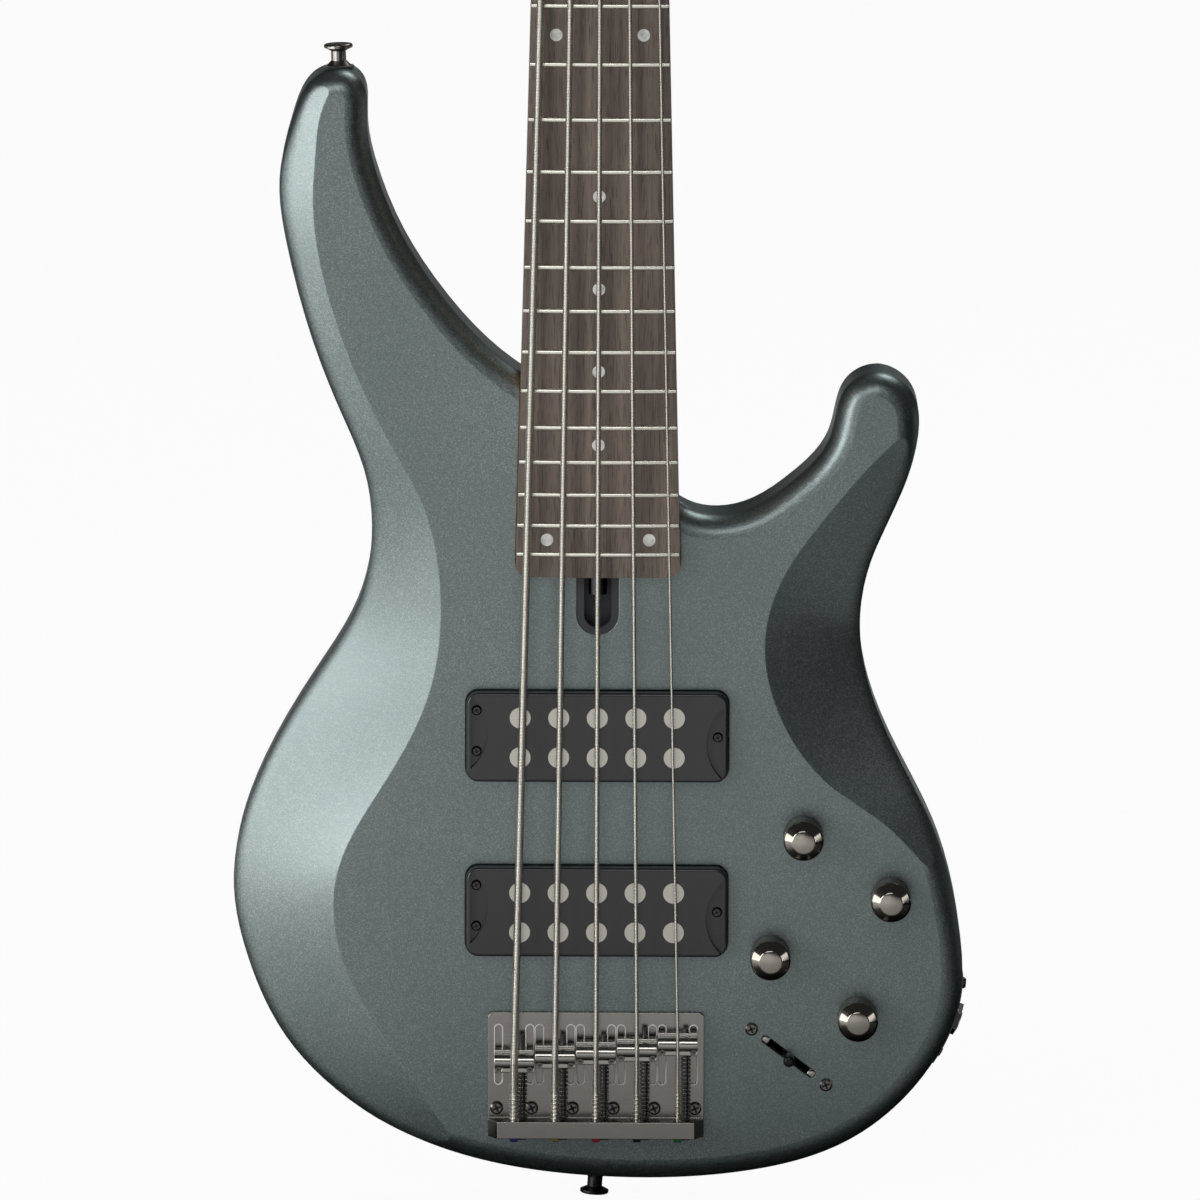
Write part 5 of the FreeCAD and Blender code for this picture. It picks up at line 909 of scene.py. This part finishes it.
# %% [markdown]
# ## White floor
# A product photograph has a white ground. The floor shows white to the camera because its own colour glows
# for those rays, mixed with a little plain diffuse white that keeps the shadow. So the background is white
# without more light on the instrument. Polished metal and metallic paint mirror the floor as well, and a
# floor that is white all over would wash them out. So for mirrored rays the glow has the form of a studio's
# reflectors: it fades in front of the instrument, is strong on the left, and lies in a band behind it.
# Each fade is a product of slopes, and a slope is an axis, how fast the level rises along it, and its start.

# %% White floor
def rays(surface):
    """1 for rays that come straight from the camera, and 1 for rays by way of a mirror or glass."""
    straight = surface.add("ShaderNodeLightPath", out="Is Camera Ray")
    mirrored = surface.add("ShaderNodeLightPath", out="Is Glossy Ray")
    through = surface.add("ShaderNodeLightPath", out="Is Transmission Ray")
    return straight, mirrored | through


def slope(surface, coordinates, axis, rise, start):
    """A level from 0 to 1 that rises evenly along an axis."""
    place = surface.add("ShaderNodeTexCoord", out=coordinates)
    along = surface.add("ShaderNodeSeparateXYZ", {}, {"Vector": place}, out=axis)
    return surface.add("ShaderNodeMath", {"operation": "MULTIPLY_ADD", "use_clamp": True},
                       {0: along, 1: rise, 2: start})


def fade(surface, coordinates, slopes):
    """The product of some slopes."""
    level = slope(surface, coordinates, *slopes[0])
    for another in slopes[1:]:
        level = level * slope(surface, coordinates, *another)
    return level


FRONT = (("Y", -0.9, 0.22), ("Y", -10.0, -0.1), ("X", -1.5, 1.08), ("X", 0.6, 1.9))
LEFT = (("X", -8.0, -0.3), ("Y", -10.0, -0.1))
LEFT_LEVEL = 0.85
BEHIND = (("Y", 1.2, -0.6), ("X", -2.0, 1.9), ("X", 2.0, 1.9))
FAR_BEHIND = (("Y", 1.2, -0.2),)
FAR_LEVEL = 0.4
GLOW_SHARE = 0.95


def white_floor():
    paper = Finish("white_paper", Roughness=0.9)
    fibre = paper.noise(paper.place, 40.0)
    paper.feed(Base_Color=paper.ramp(fibre, (0.3, grey(0.79)), (0.7, grey(0.81))))
    straight, mirrored = rays(paper)
    front = fade(paper, "Object", FRONT)
    left = fade(paper, "Object", LEFT) * LEFT_LEVEL
    behind = fade(paper, "Object", BEHIND) | fade(paper, "Object", FAR_BEHIND) * FAR_LEVEL
    glow = paper.add("ShaderNodeEmission", {}, {"Color": straight | front | left | behind, "Strength": 1.0})
    lit = Shade(paper, paper.shader.outputs[0])
    mixed = paper.add("ShaderNodeMixShader", {}, {0: straight * GLOW_SHARE | mirrored, 1: lit, 2: glow})
    paper.tree.links.new(mixed.socket, paper.tree.nodes["Material Output"].inputs["Surface"])
    return paper.material


FLOOR_SIZE = 80
FLOOR_HEIGHT = cad_box[0].z - 0.3 * MM
ground = bmesh.new()
bmesh.ops.create_grid(ground, x_segments=1, y_segments=1, size=FLOOR_SIZE)
bmesh.ops.translate(ground, verts=ground.verts, vec=(0, 0, FLOOR_HEIGHT))
sheet_data = bpy.data.meshes.new("floor")
ground.to_mesh(sheet_data)
ground.free()
sheet_data.materials.append(white_floor())
floor = bpy.data.objects.new("floor", sheet_data)
bpy.context.scene.collection.objects.link(floor)
print("Floor at %.4f m" % FLOOR_HEIGHT)

# %% [markdown]
# ## Soft light
# One tall soft lamp on the left brightens the carved bass side, and two others, farther off, fill the face
# and the back. The plated hardware is small and mirrors only a little of the room, so two narrow strips
# stand close to it on both sides. Light linking lets them light the hardware alone, and the paint keeps its
# own light. The world is white to the camera, dim to mirrored rays but for a low band behind, and a faint
# fill for everything else.

# %% Soft light
def softbox(name, place, aim, size, power):
    """A rectangular soft lamp that faces a point."""
    lamp = bpy.data.lights.new(name, "AREA")
    lamp.shape = "RECTANGLE"
    lamp.size, lamp.size_y = size
    lamp.energy = power
    box = bpy.data.objects.new(name, lamp)
    box.location = place
    box.rotation_mode = "QUATERNION"
    box.rotation_quaternion = (Vector(aim) - Vector(place)).to_track_quat("-Z", "Y")
    bpy.context.scene.collection.objects.link(box)
    return box


BODY_MIDDLE = (0, 0, -0.68)
softbox("key_left", (-1.60, -1.50, -0.22), BODY_MIDDLE, (0.9, 1.4), 21)
softbox("fill_front", (-0.3, -2.6, 1.0), BODY_MIDDLE, (1.5, 1.2), 16)
softbox("fill_back", (1.0, 2.0, 2.0), BODY_MIDDLE, (1.2, 1.2), 30)
hardware = bpy.data.collections.new("hardware")
for name in ("bridge_plate", "saddles", "strap_buttons", "bridge_screws", "selector_screws",
             "saddle_height_screws"):
    hardware.objects.link(frame["nodes"][name])
for thing in (springs, slot_lips, slot_ends, *knobs):
    hardware.objects.link(thing)
BRIDGE_MIDDLE = (0.05, 0, -0.82)
strips = (softbox("left_strip", (-0.85, -0.20, -0.70), BRIDGE_MIDDLE, (0.6, 0.42), 2.6),
          softbox("right_strip", (0.95, -0.35, -0.70), BRIDGE_MIDDLE, (0.3, 0.42), 0.8))
for strip in strips:
    strip.light_linking.receiver_collection = hardware
world = bpy.data.worlds.new("studio_air")
bpy.context.scene.world = world
air = Surround(world)
straight, mirrored = rays(air)
LOW_BEHIND = (("Y", 8.0, -7.0), ("Z", -10.0, 1.0))
MIRRORED_LEVEL = 0.04
FILL_LEVEL = 0.22
low_behind = fade(air, "Generated", LOW_BEHIND)
air.feed(Strength=straight | mirrored * (low_behind | MIRRORED_LEVEL) | (1 - mirrored) * FILL_LEVEL)
bpy.context.scene.view_settings.view_transform = "Standard"
print("Five soft lamps, two of them for the hardware alone, and a white studio")
